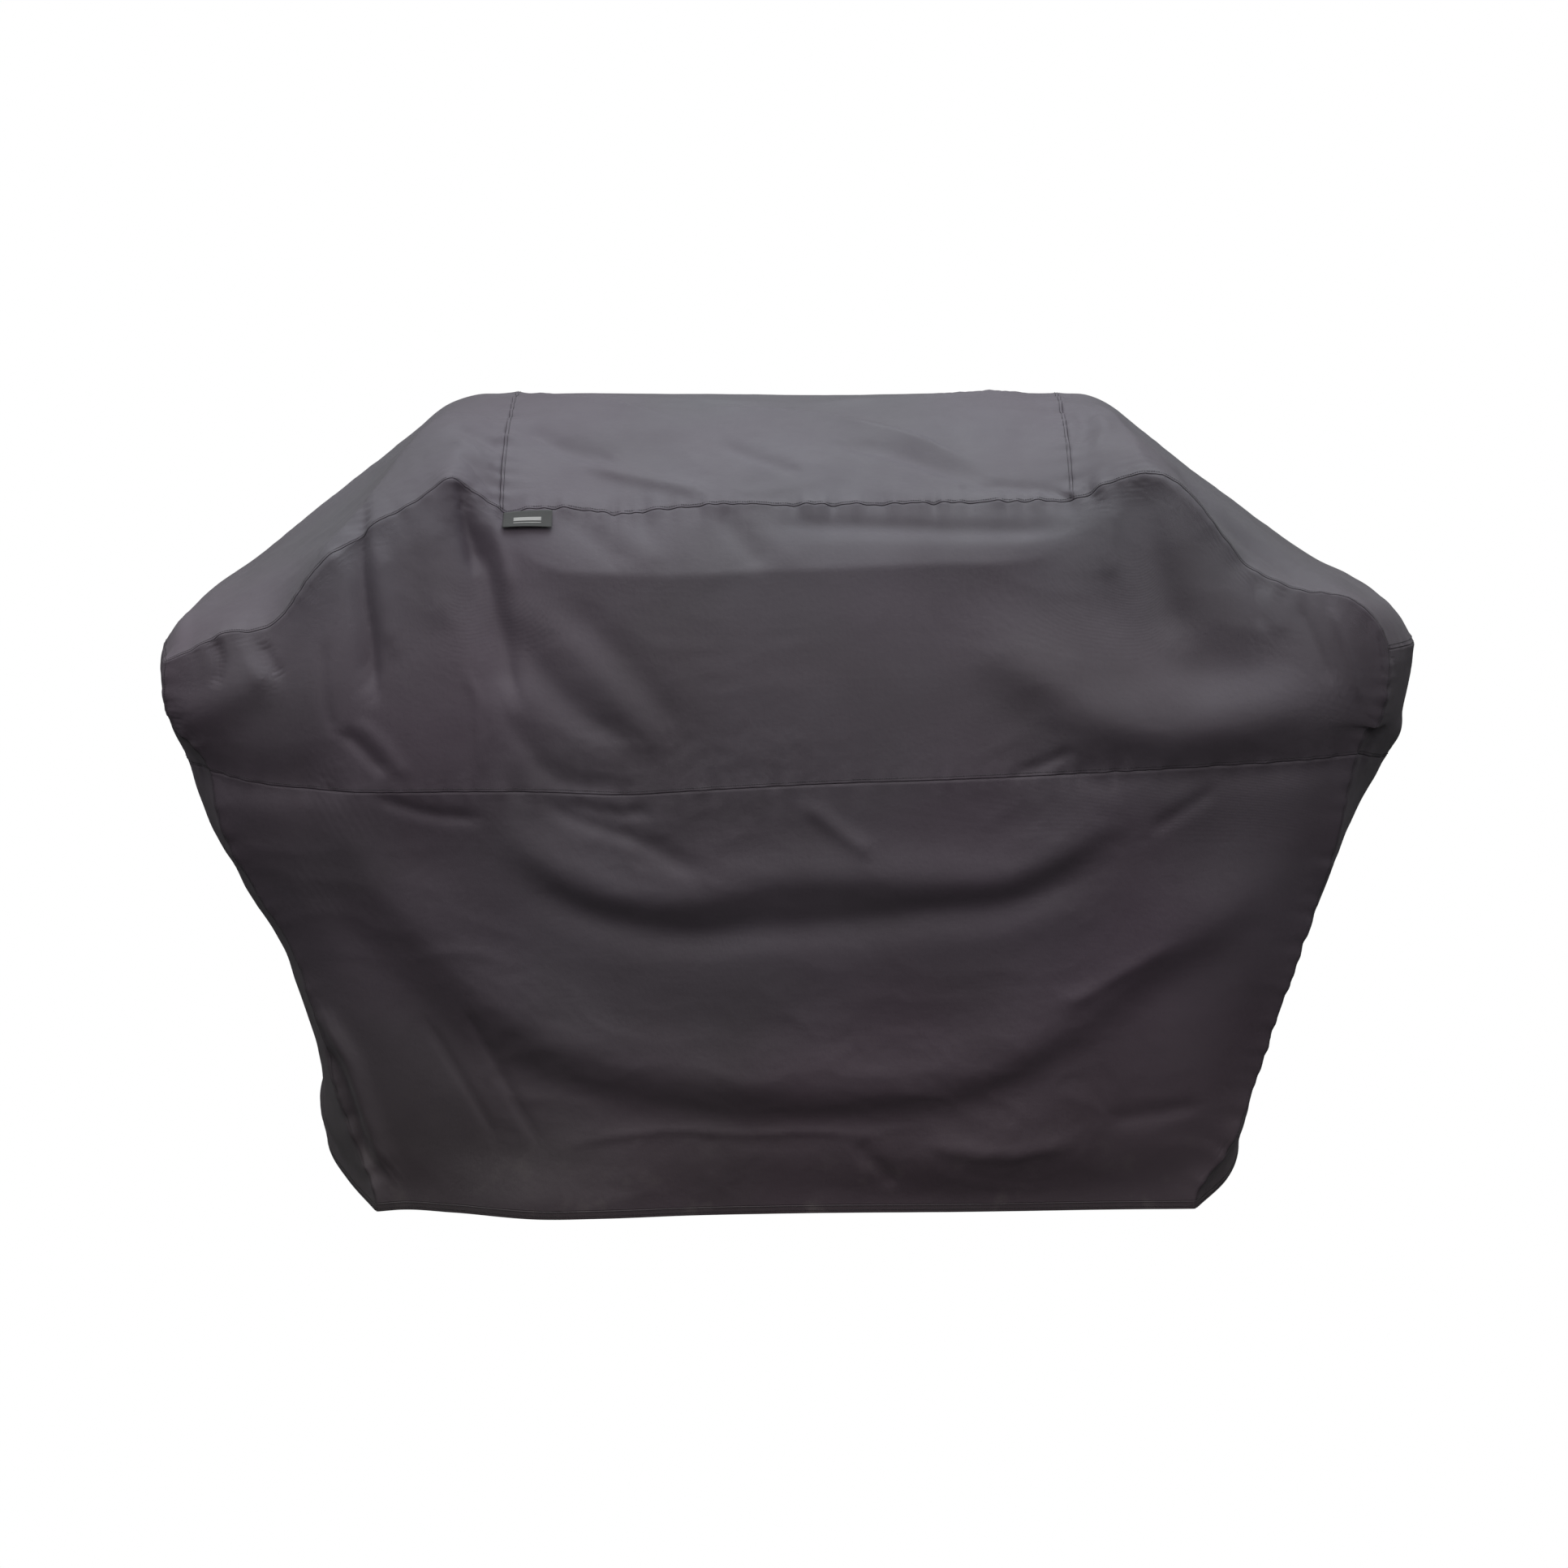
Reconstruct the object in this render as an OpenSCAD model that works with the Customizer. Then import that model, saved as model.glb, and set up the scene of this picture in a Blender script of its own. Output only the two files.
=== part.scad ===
// Fitted cover for a large gas grill with two side shelves, closed by a cinch strap on each end.
// Frame: millimetres, +Z up, origin on the floor under the middle of the cover, front towards -Y.
// Every fabric panel is a thin sheet lofted over a net of points. Neighbouring panels meet at seams.

/* [Cover] */
// Width over the ends of the side shelves
cover_w = 1860; // [1700:10:2000]
// Depth at the side shelves
cover_d = 600; // [540:10:680]
// Height of the top of the hood above the hem
cover_h = 1200; // [1140:10:1260]
// Thickness of the coated fabric
fabric_t = 1.5; // [1:0.1:2.5]

/* [Hood] */
// Distance between the two seams that cross the top
top_seam_gap = 860; // [780:10:920]
// Width of the flat top of the hood
hood_w = 1015; // [980:5:1060]
// Height of the front top seam
front_seam_h = 1078; // [1050:2:1100]
// Height of the rear top seam
rear_seam_h = 1150; // [1120:2:1170]

/* [Shoulders] */
// Height of the seam along the end of each side shelf
shelf_h = 855; // [820:5:880]

/* [Skirt] */
// Height of the seam between the upper cover and the skirt
band_h = 683; // [640:1:720]
// Width of the drawn-in hem along the front
hem_front_w = 1240; // [1140:10:1340]
// Width of the hem along the rear
hem_rear_w = 1340; // [1240:10:1440]
// Width across the hem between the two straps
hem_side_w = 1490; // [1450:10:1560]
// Height of the folded hem
hem_h = 14; // [10:1:20]

/* [Label] */
// Width of the sewn label
label_w = 74; // [50:1:90]
// Length of the sewn label below its seam
label_l = 28; // [20:1:36]
// Distance from the left top seam to the label
label_gap = 6; // [4:1:40]

/* [Straps] */
// Height of the middle of the straps
strap_h = 300; // [260:5:340]
// Width of the webbing
webbing_w = 38; // [25:1:45]
// Thickness of the webbing
webbing_t = 1.3; // [1:0.1:1.6]
// Length of the strap from its sewn end to the ring
strap_l = 170; // [140:5:180]
// Length of the free tail
tail_l = 120; // [90:5:130]
// Radius of the ring's bars
bar_r = 2; // [1.8:0.1:2.4]
// Distance between the middles of the ring's two long bars
ring_gap = 15; // [14:0.5:20]

/* [Hidden] */

fabric = "#4c4a4f";
hem_fabric = "#3b393d";
webbing = "#262527";
plastic = "#18181a";
tape = "#1f1e20";
label_cloth = "#3e3f3e";

half_w = cover_w / 2;
half_d = cover_d / 2;
seam_inset = 3;                         // how far each panel stops short of its seam line

// Stations across the cover, from the middle plane to the right end
seam_x = top_seam_gap / 2;              // seam that crosses the top
hood_x = hood_w / 2;                    // end of the flat top of the hood
slope_x = (hood_x + half_w) / 2 - 25;   // halfway down the slope from the hood to the shelf
edge_x = half_w - 70;                   // where the shelf's rounded end begins
end_bulge = 15;                         // how far the ends stand out past the shelf corners

// Stations from the front to the rear
front_seam_y = -215;                    // front top seam
brow_y = -130;                          // front edge of the hood's lid
lid_y = -20;                            // middle of the hood's lid
ridge_y = half_d - 100;                 // highest line of the hood
rear_seam_y = half_d - 10;              // rear top seam
corner_out = 5;                         // how far the corners hang forward of the shelves
belly = 32;                             // how far the loose front hangs forward of the shelves
rear_belly = 8;                         // the same at the rear

// Heights
crease_h = 1000;                        // crease under the hood's front
chest_h = 850;                          // height where the front hangs free
upper_h = 765;                          // halfway between the shelf seam and the skirt seam
thigh_h = 530;                          // upper part of the skirt
lid_drop = 10;                          // fall of the hood from its ridge to the middle of its lid
brow_drop = 50;                         // fall of the hood from its ridge to its brow
corner_lift = 27;                       // the front seam rises over the hood's corner
end_drop = 22;                          // depth of the rounded roll below the shelf seam
// A height on the slope, as a share of the way from the shelf up to the hood
function rise(share) = shelf_h + share * (cover_h - shelf_h);

// ---- Lofted sheets ----------------------------------------------------------------------------

function unit(v) = v / norm(v);
function mirrored(row) = [for (i = [len(row) - 1:-1:0]) [-row[i][0], row[i][1], row[i][2]]];
// A whole row from its right half, whose first point lies on the middle plane
function whole(half) = concat(mirrored([for (i = [1:len(half) - 1]) half[i]]), half);
function reversed(row) = [for (i = [len(row) - 1:-1:0]) row[i]];

function toward(a, b, d) = a + unit(b - a) * d;
function inset_row(row, d) = [
  for (i = [0:len(row) - 1])
    i == 0 ? toward(row[0], row[1], d) : i == len(row) - 1 ? toward(row[i], row[i - 1], d) : row[i]
];
function transposed(net) = [for (c = [0:len(net[0]) - 1]) [for (r = [0:len(net) - 1]) net[r][c]]];
function inset_net(net, d) =
  let (across = [for (row = net) inset_row(row, d)])
  transposed([for (column = transposed(across)) inset_row(column, d)]);

function clamped(i, top) = min(max(i, 0), top);
// Outward normal at one point of a net whose rows run left to right and downwards, seen from outside
function net_normal(net, r, c, level) =
  let (
    last_r = len(net) - 1,
    last_c = len(net[0]) - 1,
    down = net[clamped(r + 1, last_r)][c] - net[clamped(r - 1, last_r)][c],
    along = net[r][clamped(c + 1, last_c)] - net[r][clamped(c - 1, last_c)],
    n = cross(down, along)
  )
  unit(level ? [n[0], n[1], 0] : n);

// A closed sheet whose outer face is the net and whose thickness lies inside it.
// With level set, the thickness is measured horizontally, so the lower edge stays flat.
module sheet(net, thickness, level = false) {
  rows = len(net);
  columns = len(net[0]);
  outer = [for (r = [0:rows - 1]) for (c = [0:columns - 1]) net[r][c]];
  inner = [
    for (r = [0:rows - 1]) for (c = [0:columns - 1]) net[r][c] - thickness * net_normal(net, r, c, level)
  ];
  n = rows * columns;
  function at(r, c) = r * columns + c;
  cells = [
    for (r = [0:rows - 2]) for (c = [0:columns - 2]) [at(r, c), at(r, c + 1), at(r + 1, c), at(r + 1, c + 1)]
  ];
  rim = concat(
    [for (c = [0:columns - 1]) at(0, c)],
    [for (r = [1:rows - 1]) at(r, columns - 1)],
    [for (c = [columns - 2:-1:0]) at(rows - 1, c)],
    [for (r = [rows - 2:-1:1]) at(r, 0)]
  );
  faces = concat(
    [for (q = cells) [q[0], q[1], q[3]]],
    [for (q = cells) [q[0], q[3], q[2]]],
    [for (q = cells) [n + q[0], n + q[3], n + q[1]]],
    [for (q = cells) [n + q[0], n + q[2], n + q[3]]],
    [for (i = [0:len(rim) - 1]) [rim[i], n + rim[i], n + rim[(i + 1) % len(rim)]]],
    [for (i = [0:len(rim) - 1]) [rim[i], n + rim[(i + 1) % len(rim)], rim[(i + 1) % len(rim)]]]
  );
  polyhedron(concat(outer, inner), faces);
}

module panel(net) {
  color(fabric) sheet(inset_net(net, seam_inset), fabric_t);
}

// ---- The cover's shape --------------------------------------------------------------------------

// Top seams, right half, from the middle plane to the shelf's corner
front_seam = [
  [0, front_seam_y, front_seam_h],
  [seam_x, front_seam_y, front_seam_h - 3],
  [hood_x, front_seam_y - 20, front_seam_h + corner_lift],
  [slope_x, -half_d + 15, rise(0.43)],
  [edge_x, -half_d - corner_out, rise(0.15)],
  [half_w, -half_d, shelf_h]
];
rear_seam = [
  [0, rear_seam_y, rear_seam_h],
  [seam_x, rear_seam_y, rear_seam_h],
  [hood_x, rear_seam_y - 2, rear_seam_h - 5],
  [slope_x, half_d - 3, rise(0.46)],
  [edge_x, half_d + 3, rise(0.15)],
  [half_w, half_d, shelf_h]
];

// One row of the top between its two seams, right half. It lies at y over the hood and at end_y at the shelf.
function ridge_row(y, end_y, drop, slope_share, edge_share) = [
  [0, y, cover_h - drop],
  [seam_x, y, cover_h - drop],
  [hood_x, y, cover_h - drop],
  [slope_x, (y + end_y) / 2, rise(slope_share)],
  [edge_x + 25, end_y, rise(edge_share)],
  [half_w + end_bulge, end_y, shelf_h]
];
top_rows = [
  rear_seam,
  ridge_row(ridge_y, ridge_y - 10, 0, 0.58, 0.22),
  ridge_row(lid_y, lid_y, lid_drop, 0.58, 0.22),
  ridge_row(brow_y, brow_y - 50, brow_drop, 0.54, 0.21),
  front_seam
];

// One level of the cover below the shelves
// [height, front corner, side x, rear corner, y of the front's middle, y of the rear's middle]
function level(h, corner_x, side_x, rear_x, front, rear) =
  [h, [corner_x, -half_d - corner_out], side_x, [rear_x, half_d], -half_d - front, half_d + rear];
upper_level = level(upper_h, half_w - 20, half_w + end_bulge, half_w - 20, 22, rear_belly);
band_level = level(band_h, half_w - 60, half_w - 5, half_w - 50, belly, rear_belly);
thigh_level = level(thigh_h, half_w - 115, half_w - 60, half_w - 100, belly + 2, 4);
// The facet that carries the strap is flat: it runs from strap_top to strap_foot
facet_l = 100;
strap_top = level(strap_h + facet_l, half_w - 165, half_w - 140, half_w - 165, 26, -2);
strap_foot = level(strap_h - facet_l, half_w - 218, half_w - 205, half_w - 225, 18, -10);
hem_level = level(hem_h, hem_front_w / 2, hem_side_w / 2, hem_rear_w / 2, 18, -15);
floor_level = concat([0], [for (i = [1:5]) hem_level[i]]);
skirt_levels = [band_level, thigh_level, strap_top, strap_foot, hem_level];

side_flat = 160;   // half length of the flat middle of each side
round_in = 0.82;   // where the front and rear begin to turn in to the corners, as a share of their half width

function front_row(l) = whole([
  [0, l[4], l[0]], [seam_x, l[4], l[0]], [l[1][0] * round_in, l[4] + 4, l[0]], [l[1][0], l[1][1], l[0]]
]);
function rear_row(l) = [for (p = whole([
  [0, l[5], l[0]], [seam_x, l[5], l[0]], [l[3][0] * round_in, l[5] - 2, l[0]], [l[3][0], l[3][1], l[0]]
])) [-p[0], p[1], p[2]]];
function right_row(l) = [
  [l[1][0], l[1][1], l[0]], [l[2], -side_flat, l[0]], [l[2], side_flat, l[0]], [l[3][0], l[3][1], l[0]]
];
function left_row(l) = mirrored(right_row(l));

// Rows of the upper front and rear, right half. Their last points lie on the corner seams.
front_crease = [
  [0, -half_d, crease_h],
  [seam_x, -half_d, crease_h],
  [hood_x + 12, -half_d, crease_h + 15],
  [slope_x + 5, -half_d - 8, rise(0.25)],
  [edge_x - 10, -half_d - 16, rise(0.05)],
  [half_w - 2, -half_d - 2, shelf_h - end_drop]
];
front_chest = [
  [0, -half_d - 20, chest_h],
  [seam_x, -half_d - 22, chest_h],
  [hood_x + 30, -half_d - 25, chest_h],
  [slope_x + 10, -half_d - 25, chest_h - 12],
  [edge_x - 18, -half_d - 20, chest_h - 50],
  [upper_level[1][0], upper_level[1][1], upper_h]
];
front_band = [
  [0, -half_d - belly, band_h],
  [seam_x, -half_d - belly, band_h],
  [hood_x + 20, -half_d - belly, band_h],
  [slope_x, -half_d - belly + 3, band_h],
  [edge_x - 30, -half_d - 18, band_h],
  [band_level[1][0], band_level[1][1], band_h]
];
rear_crease = [
  [0, half_d, crease_h],
  [seam_x, half_d, crease_h],
  [hood_x + 10, half_d, crease_h - 15],
  [slope_x, half_d + 4, rise(0.13)],
  [edge_x, half_d + 6, rise(0)],
  [half_w - 2, half_d + 1, shelf_h - end_drop]
];
rear_chest = [
  [0, half_d + rear_belly, chest_h],
  [seam_x, half_d + rear_belly, chest_h],
  [hood_x + 20, half_d + rear_belly, chest_h],
  [slope_x, half_d + rear_belly, chest_h - 30],
  [edge_x - 10, half_d + rear_belly - 1, chest_h - 60],
  [upper_level[3][0], upper_level[3][1], upper_h]
];
rear_band = [
  [0, half_d + rear_belly, band_h],
  [seam_x, half_d + rear_belly, band_h],
  [hood_x + 20, half_d + rear_belly, band_h],
  [slope_x, half_d + rear_belly, band_h],
  [edge_x - 25, half_d + rear_belly - 2, band_h],
  [band_level[3][0], band_level[3][1], band_h]
];

// The upper sides have one column for each row of the top, so that they share the seam at the shelf's end
side_top_row = [for (i = [len(top_rows) - 1:-1:0]) top_rows[i][5]];
function side_row(l) = [
  [l[1][0], l[1][1], l[0]],
  [l[2], brow_y - 50, l[0]],
  [l[2], lid_y, l[0]],
  [l[2], ridge_y - 10, l[0]],
  [l[3][0], l[3][1], l[0]]
];
upper_side_net = [side_top_row, side_row(upper_level), side_row(band_level)];

module top_center_panel() {
  panel([for (row = top_rows) whole([row[0], row[1]])]);
}

module right_shoulder_panel() {
  panel([for (row = top_rows) [for (i = [1:5]) row[i]]]);
}

module left_shoulder_panel() {
  panel([for (row = top_rows) mirrored([for (i = [1:5]) row[i]])]);
}

module front_upper_panel() {
  panel([for (row = [front_seam, front_crease, front_chest, front_band]) whole(row)]);
}

module rear_upper_panel() {
  panel([for (row = [rear_seam, rear_crease, rear_chest, rear_band]) reversed(whole(row))]);
}

module right_upper_side_panel() {
  panel(upper_side_net);
}

module left_upper_side_panel() {
  panel([for (row = upper_side_net) mirrored(row)]);
}

module front_skirt_panel() {
  panel([for (l = skirt_levels) front_row(l)]);
}

module rear_skirt_panel() {
  panel([for (l = skirt_levels) rear_row(l)]);
}

module right_skirt_panel() {
  panel([for (l = skirt_levels) right_row(l)]);
}

module left_skirt_panel() {
  panel([for (l = skirt_levels) left_row(l)]);
}

// ---- Hem ----------------------------------------------------------------------------------------

// The hem is the fabric turned up on itself, so it is twice as thick as a panel
module hem(top, foot) {
  color(hem_fabric) sheet([inset_row(top, seam_inset), inset_row(foot, seam_inset)], 2 * fabric_t, true);
}

module front_hem() {
  hem(front_row(hem_level), front_row(floor_level));
}

module rear_hem() {
  hem(rear_row(hem_level), rear_row(floor_level));
}

module right_hem() {
  hem(right_row(hem_level), right_row(floor_level));
}

module left_hem() {
  hem(left_row(hem_level), left_row(floor_level));
}

// ---- Label --------------------------------------------------------------------------------------

seam_drop = front_crease[0] - front_seam[0];
label_pitch = atan2(-seam_drop[2], -seam_drop[1]);  // slope of the front just below the seam
label_t = 0.8;       // thickness of the woven label
label_lift = 1.2;    // how far the label hangs clear of the front
label_clear = 4;     // the label starts this far below the seam line

module label() {
  color(label_cloth)
    translate([-seam_x + label_gap, front_seam[0][1], front_seam[1][2]])
      rotate([label_pitch, 0, 0])
        translate([0, -label_clear - label_l, label_lift]) cube([label_w, label_l, label_t]);
}

// ---- Straps -------------------------------------------------------------------------------------
// Local frame: x' runs to the rear, y' up the side and z' out of it. The origin is on the flat side.

strap_lean = atan2(strap_top[2] - strap_foot[2], strap_top[0] - strap_foot[0]);
strap_x = (strap_top[2] + strap_foot[2]) / 2;
strap_lift = 0.4;                                  // gap between the panel and the webbing
swing_room = 1.1;                                  // radial slack of the webbing round the ring's bars
patch_t = 1;                                       // thickness of the hook tape and of the loop tape
patch_gap = 0.2;                                   // gap between the closed hook tape and loop tape
patch_margin = 1.5;                                // webbing that shows on each side of the tape
wrap_r = bar_r + swing_room;                       // inside of the webbing round a bar
bar_z = strap_lift + webbing_t + wrap_r;           // height of the bars above the side
ring_x = strap_l / 2 - 10;                         // front bar of the ring
ring_w = webbing_w + 2 * (bar_r + 1.5);            // between the middles of the ring's end blocks
top_z = bar_z + wrap_r;                            // underside of the webbing where it comes back
loop_z = strap_lift + webbing_t;                   // top of the strap
hook_z = loop_z + patch_t + patch_gap;             // underside of the closed hook tape
tail_gap = 0.6;                                    // flexing web between the wrap and the tail
tab_l = 58;                                        // length of the tab that holds the ring
ease = 26;                                         // length over which a raised web comes down

module on_right_side() {
  multmatrix([
    [0, sin(strap_lean), cos(strap_lean), strap_x],
    [1, 0, 0, 0],
    [0, cos(strap_lean), -sin(strap_lean), strap_h],
    [0, 0, 0, 1]
  ]) children();
}

module on_left_side() {
  mirror([1, 0, 0]) on_right_side() children();
}

// A strip of webbing from its outline in x' and z'
module strip(outline, width = webbing_w) {
  rotate([90, 0, 0]) linear_extrude(width, center = true) polygon(outline);
}

// The half turn that webbing makes round a bar, on the bar's rear side, or its front side if flipped
module half_wrap(x, flipped = false) {
  cut = 2 * (wrap_r + webbing_t);
  translate([x, 0, bar_z]) rotate([90, 0, 0]) difference() {
    cylinder(h = webbing_w, r = wrap_r + webbing_t, center = true, $fn = 48);
    cylinder(h = webbing_w + 2, r = wrap_r, center = true, $fn = 48);
    translate([flipped ? cut / 2 : -cut / 2, 0, 0]) cube([cut, cut, webbing_w + 2], center = true);
  }
}

module strap() {
  start = ring_x - strap_l;
  color(webbing) union() {
    strip([[start, strap_lift], [ring_x, strap_lift], [ring_x, loop_z], [start, loop_z]]);
    half_wrap(ring_x);
  }
}

module strap_tail() {
  x0 = ring_x - tail_gap;
  x1 = x0 - ease;
  low = hook_z + patch_t;
  color(webbing) strip([
    [x0, top_z], [x0, top_z + webbing_t], [x1, low + webbing_t],
    [x0 - tail_l, low + webbing_t], [x0 - tail_l, low], [x1, low]
  ]);
}

module tape_patch(z) {
  rear_end = ring_x - tail_gap - ease - patch_margin;
  length = tail_l - ease - 4 * patch_margin;
  width = webbing_w - 2 * patch_margin;
  color(tape) translate([rear_end - length, -width / 2, z]) cube([length, width, patch_t]);
}

module ring() {
  block = [ring_gap + 2 * bar_r + 1, 2 * bar_r, 2 * bar_r + 0.6];
  color(plastic) union() {
    for (x = [ring_x, ring_x + ring_gap])
      translate([x, 0, bar_z]) rotate([90, 0, 0]) cylinder(h = ring_w, r = bar_r, center = true, $fn = 48);
    for (y = [-ring_w / 2, ring_w / 2])
      translate([ring_x + ring_gap / 2, y, bar_z]) cube(block, center = true);
  }
}

module ring_tab() {
  x0 = ring_x + ring_gap;
  x1 = x0 + ease;
  x2 = x0 + tab_l;
  color(webbing) union() {
    half_wrap(x0, flipped = true);
    strip([
      [x0, strap_lift], [x2, strap_lift], [x2, loop_z + webbing_t], [x1, loop_z + webbing_t],
      [x0, top_z + webbing_t], [x0, top_z], [x1, loop_z], [x0, loop_z]
    ]);
  }
}

top_center_panel();
left_shoulder_panel();
right_shoulder_panel();
front_upper_panel();
rear_upper_panel();
left_upper_side_panel();
right_upper_side_panel();
front_skirt_panel();
rear_skirt_panel();
left_skirt_panel();
right_skirt_panel();
front_hem();
rear_hem();
left_hem();
right_hem();
label();
on_left_side() strap();  // left_strap
on_left_side() strap_tail();  // left_strap_tail
on_left_side() tape_patch(hook_z);  // left_hook_patch
on_left_side() tape_patch(loop_z);  // left_loop_patch
on_left_side() ring();  // left_ring
on_left_side() ring_tab();  // left_ring_tab
on_right_side() strap();  // right_strap
on_right_side() strap_tail();  // right_strap_tail
on_right_side() tape_patch(hook_z);  // right_hook_patch
on_right_side() tape_patch(loop_z);  // right_loop_patch
on_right_side() ring();  // right_ring
on_right_side() ring_tab();  // right_ring_tab
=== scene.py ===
"""Looks for a fitted grill cover: sewn charcoal fabric over a wide grill, with cinch straps on its ends.

The fabric is one welded sheet. It starts as a smooth drape over named outlines, which a short cloth
simulation loosens. Folds are then laid along short paths, fine crumpling is added, and the sheet is cut at
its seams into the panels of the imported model. Metres, +Z up, front towards -Y.
"""
import math

import bmesh
import bpy
import numpy as np
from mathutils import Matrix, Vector, noise
from mathutils.bvhtree import BVHTree
from mathutils.kdtree import KDTree


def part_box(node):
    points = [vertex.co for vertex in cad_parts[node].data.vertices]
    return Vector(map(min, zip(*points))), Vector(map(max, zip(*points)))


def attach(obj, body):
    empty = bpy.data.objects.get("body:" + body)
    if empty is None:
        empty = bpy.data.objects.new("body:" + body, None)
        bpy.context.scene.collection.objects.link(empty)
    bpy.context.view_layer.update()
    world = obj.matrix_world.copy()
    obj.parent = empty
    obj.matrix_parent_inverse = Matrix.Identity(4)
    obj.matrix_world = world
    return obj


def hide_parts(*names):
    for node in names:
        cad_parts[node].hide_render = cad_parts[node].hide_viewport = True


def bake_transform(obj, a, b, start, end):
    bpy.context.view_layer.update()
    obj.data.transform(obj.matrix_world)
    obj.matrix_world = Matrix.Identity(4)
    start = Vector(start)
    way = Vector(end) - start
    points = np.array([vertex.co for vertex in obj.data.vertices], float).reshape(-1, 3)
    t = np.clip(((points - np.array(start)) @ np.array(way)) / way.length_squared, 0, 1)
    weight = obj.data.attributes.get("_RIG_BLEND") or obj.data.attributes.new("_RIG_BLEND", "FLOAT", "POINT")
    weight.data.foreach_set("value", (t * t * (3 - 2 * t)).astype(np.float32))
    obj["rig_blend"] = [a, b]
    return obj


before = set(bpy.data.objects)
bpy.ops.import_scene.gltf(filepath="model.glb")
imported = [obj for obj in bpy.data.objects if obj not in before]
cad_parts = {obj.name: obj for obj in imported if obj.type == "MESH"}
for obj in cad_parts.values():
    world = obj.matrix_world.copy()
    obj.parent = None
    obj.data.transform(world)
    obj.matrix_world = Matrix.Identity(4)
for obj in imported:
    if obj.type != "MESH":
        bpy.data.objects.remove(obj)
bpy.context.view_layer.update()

# ---- Sizes ---------------------------------------------------------------------------------------

SEAM_INSET = 0.003                       # each CAD panel stops this far short of its seam
SEAM_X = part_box("top_center_panel")[1].x + SEAM_INSET
BAND_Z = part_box("front_skirt_panel")[1].z + SEAM_INSET
HEM_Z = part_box("front_hem")[1].z
MM = 0.001
TINY = 1e-9                              # stands in for a length of zero where it divides
PITCH = 0.0105                           # spacing of the sheet's mesh
FABRIC_T = 0.0010                        # thickness of the fabric shell
HEM_T = 0.0026                           # thickness of the hem's three layers


# ---- Numbers and curves --------------------------------------------------------------------------

def spline(knots, values, at):
    """Cubic curve through values (k, d) at knots, read at the places `at`."""
    knots = np.asarray(knots, float)
    values = np.asarray(values, float)
    at = np.clip(at, knots[0], knots[-1])
    step = np.diff(knots)[:, None]
    slope = np.diff(values, axis=0) / step
    tangent = np.empty_like(values)
    tangent[0] = slope[0]
    tangent[-1] = slope[-1]
    tangent[1:-1] = (slope[:-1] * step[1:] + slope[1:] * step[:-1]) / (step[1:] + step[:-1])
    i = np.clip(np.searchsorted(knots, at, side="right") - 1, 0, len(knots) - 2)
    h = (knots[i + 1] - knots[i])[:, None]
    t = ((at - knots[i]) / h[:, 0])[:, None]
    return (values[i] * (2 * t ** 3 - 3 * t ** 2 + 1) + values[i + 1] * (3 * t ** 2 - 2 * t ** 3)
            + h * (tangent[i] * (t ** 3 - 2 * t ** 2 + t) + tangent[i + 1] * (t ** 3 - t ** 2)))


def smoothstep(x, low, high):
    t = np.clip((x - low) / (high - low), 0, 1)
    return t * t * (3 - 2 * t)


def noise_at(points, scale, offset=0.0):
    """Smooth noise from -1 to 1 at each point. Scale is waves per metre, one number or one for each axis."""
    shifted = points * np.asarray(scale, float) + offset
    return np.array([noise.noise(Vector(p)) for p in shifted])


def unit(vectors):
    return vectors / np.maximum(np.linalg.norm(vectors, axis=-1, keepdims=True), TINY)


def path_lengths(path):
    """How far along a path each of its points lies."""
    return np.concatenate([[0], np.cumsum(np.linalg.norm(np.diff(path, axis=0), axis=1))])


# ---- Meshes --------------------------------------------------------------------------------------

def add_object(name, data):
    obj = bpy.data.objects.new(name, data)
    bpy.context.scene.collection.objects.link(obj)
    return obj


def new_mesh(name, points, faces):
    mesh = bpy.data.meshes.new(name)
    mesh.from_pydata([tuple(p) for p in points], [], [tuple(f) for f in faces])
    return mesh


def shaped(obj):
    """The object's mesh after its modifiers, and the places of its points."""
    mesh = obj.evaluated_get(bpy.context.evaluated_depsgraph_get()).to_mesh()
    points = np.empty(len(mesh.vertices) * 3)
    mesh.vertices.foreach_get("co", points)
    return mesh, points.reshape(-1, 3)


# ---- The drape: outlines across the cover, from left to right -----------------------------------

def mirrored(half, middle):
    """A row that is the same on both sides, from its points on the right and the one in the middle."""
    return [(-x, y, z) for x, y, z in half] + [middle] + half[::-1]


# Each outline is a row of (x, y, z) points. The top rows run over the shoulders and the hood.
REAR_SEAM = mirrored([(.935, .300, .858), (.900, .303, .885), (.840, .302, .922), (.690, .297, 1.020),
                      (.580, .292, 1.100), (.510, .289, 1.150), (.430, .289, 1.158)], (0, .289, 1.155))
RIDGE = [(-.950, .170, .860), (-.925, .180, .884), (-.870, .190, .930), (-.819, .190, .970),
         (-.688, .190, 1.071), (-.587, .190, 1.148), (-.541, .190, 1.186), (-.500, .190, 1.203),
         (-.430, .190, 1.205), (0, .190, 1.203), (.430, .190, 1.205), (.480, .190, 1.203),
         (.512, .190, 1.190), (.560, .190, 1.153), (.638, .190, 1.090), (.727, .190, 1.026),
         (.800, .190, .977), (.850, .190, .942), (.900, .190, .915), (.935, .180, .890),
         (.954, .170, .860)]
LID = [(x, -.020, z) for x, z in ((-.955, .862), (-.925, .903), (-.840, .957), (-.755, 1.017),
                                  (-.690, 1.064), (-.600, 1.137), (-.535, 1.180), (-.430, 1.194),
                                  (0, 1.192), (.430, 1.194), (.500, 1.188), (.550, 1.162), (.620, 1.111),
                                  (.700, 1.053), (.780, .996), (.840, .964), (.895, .940), (.936, .908),
                                  (.957, .868))]
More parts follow.
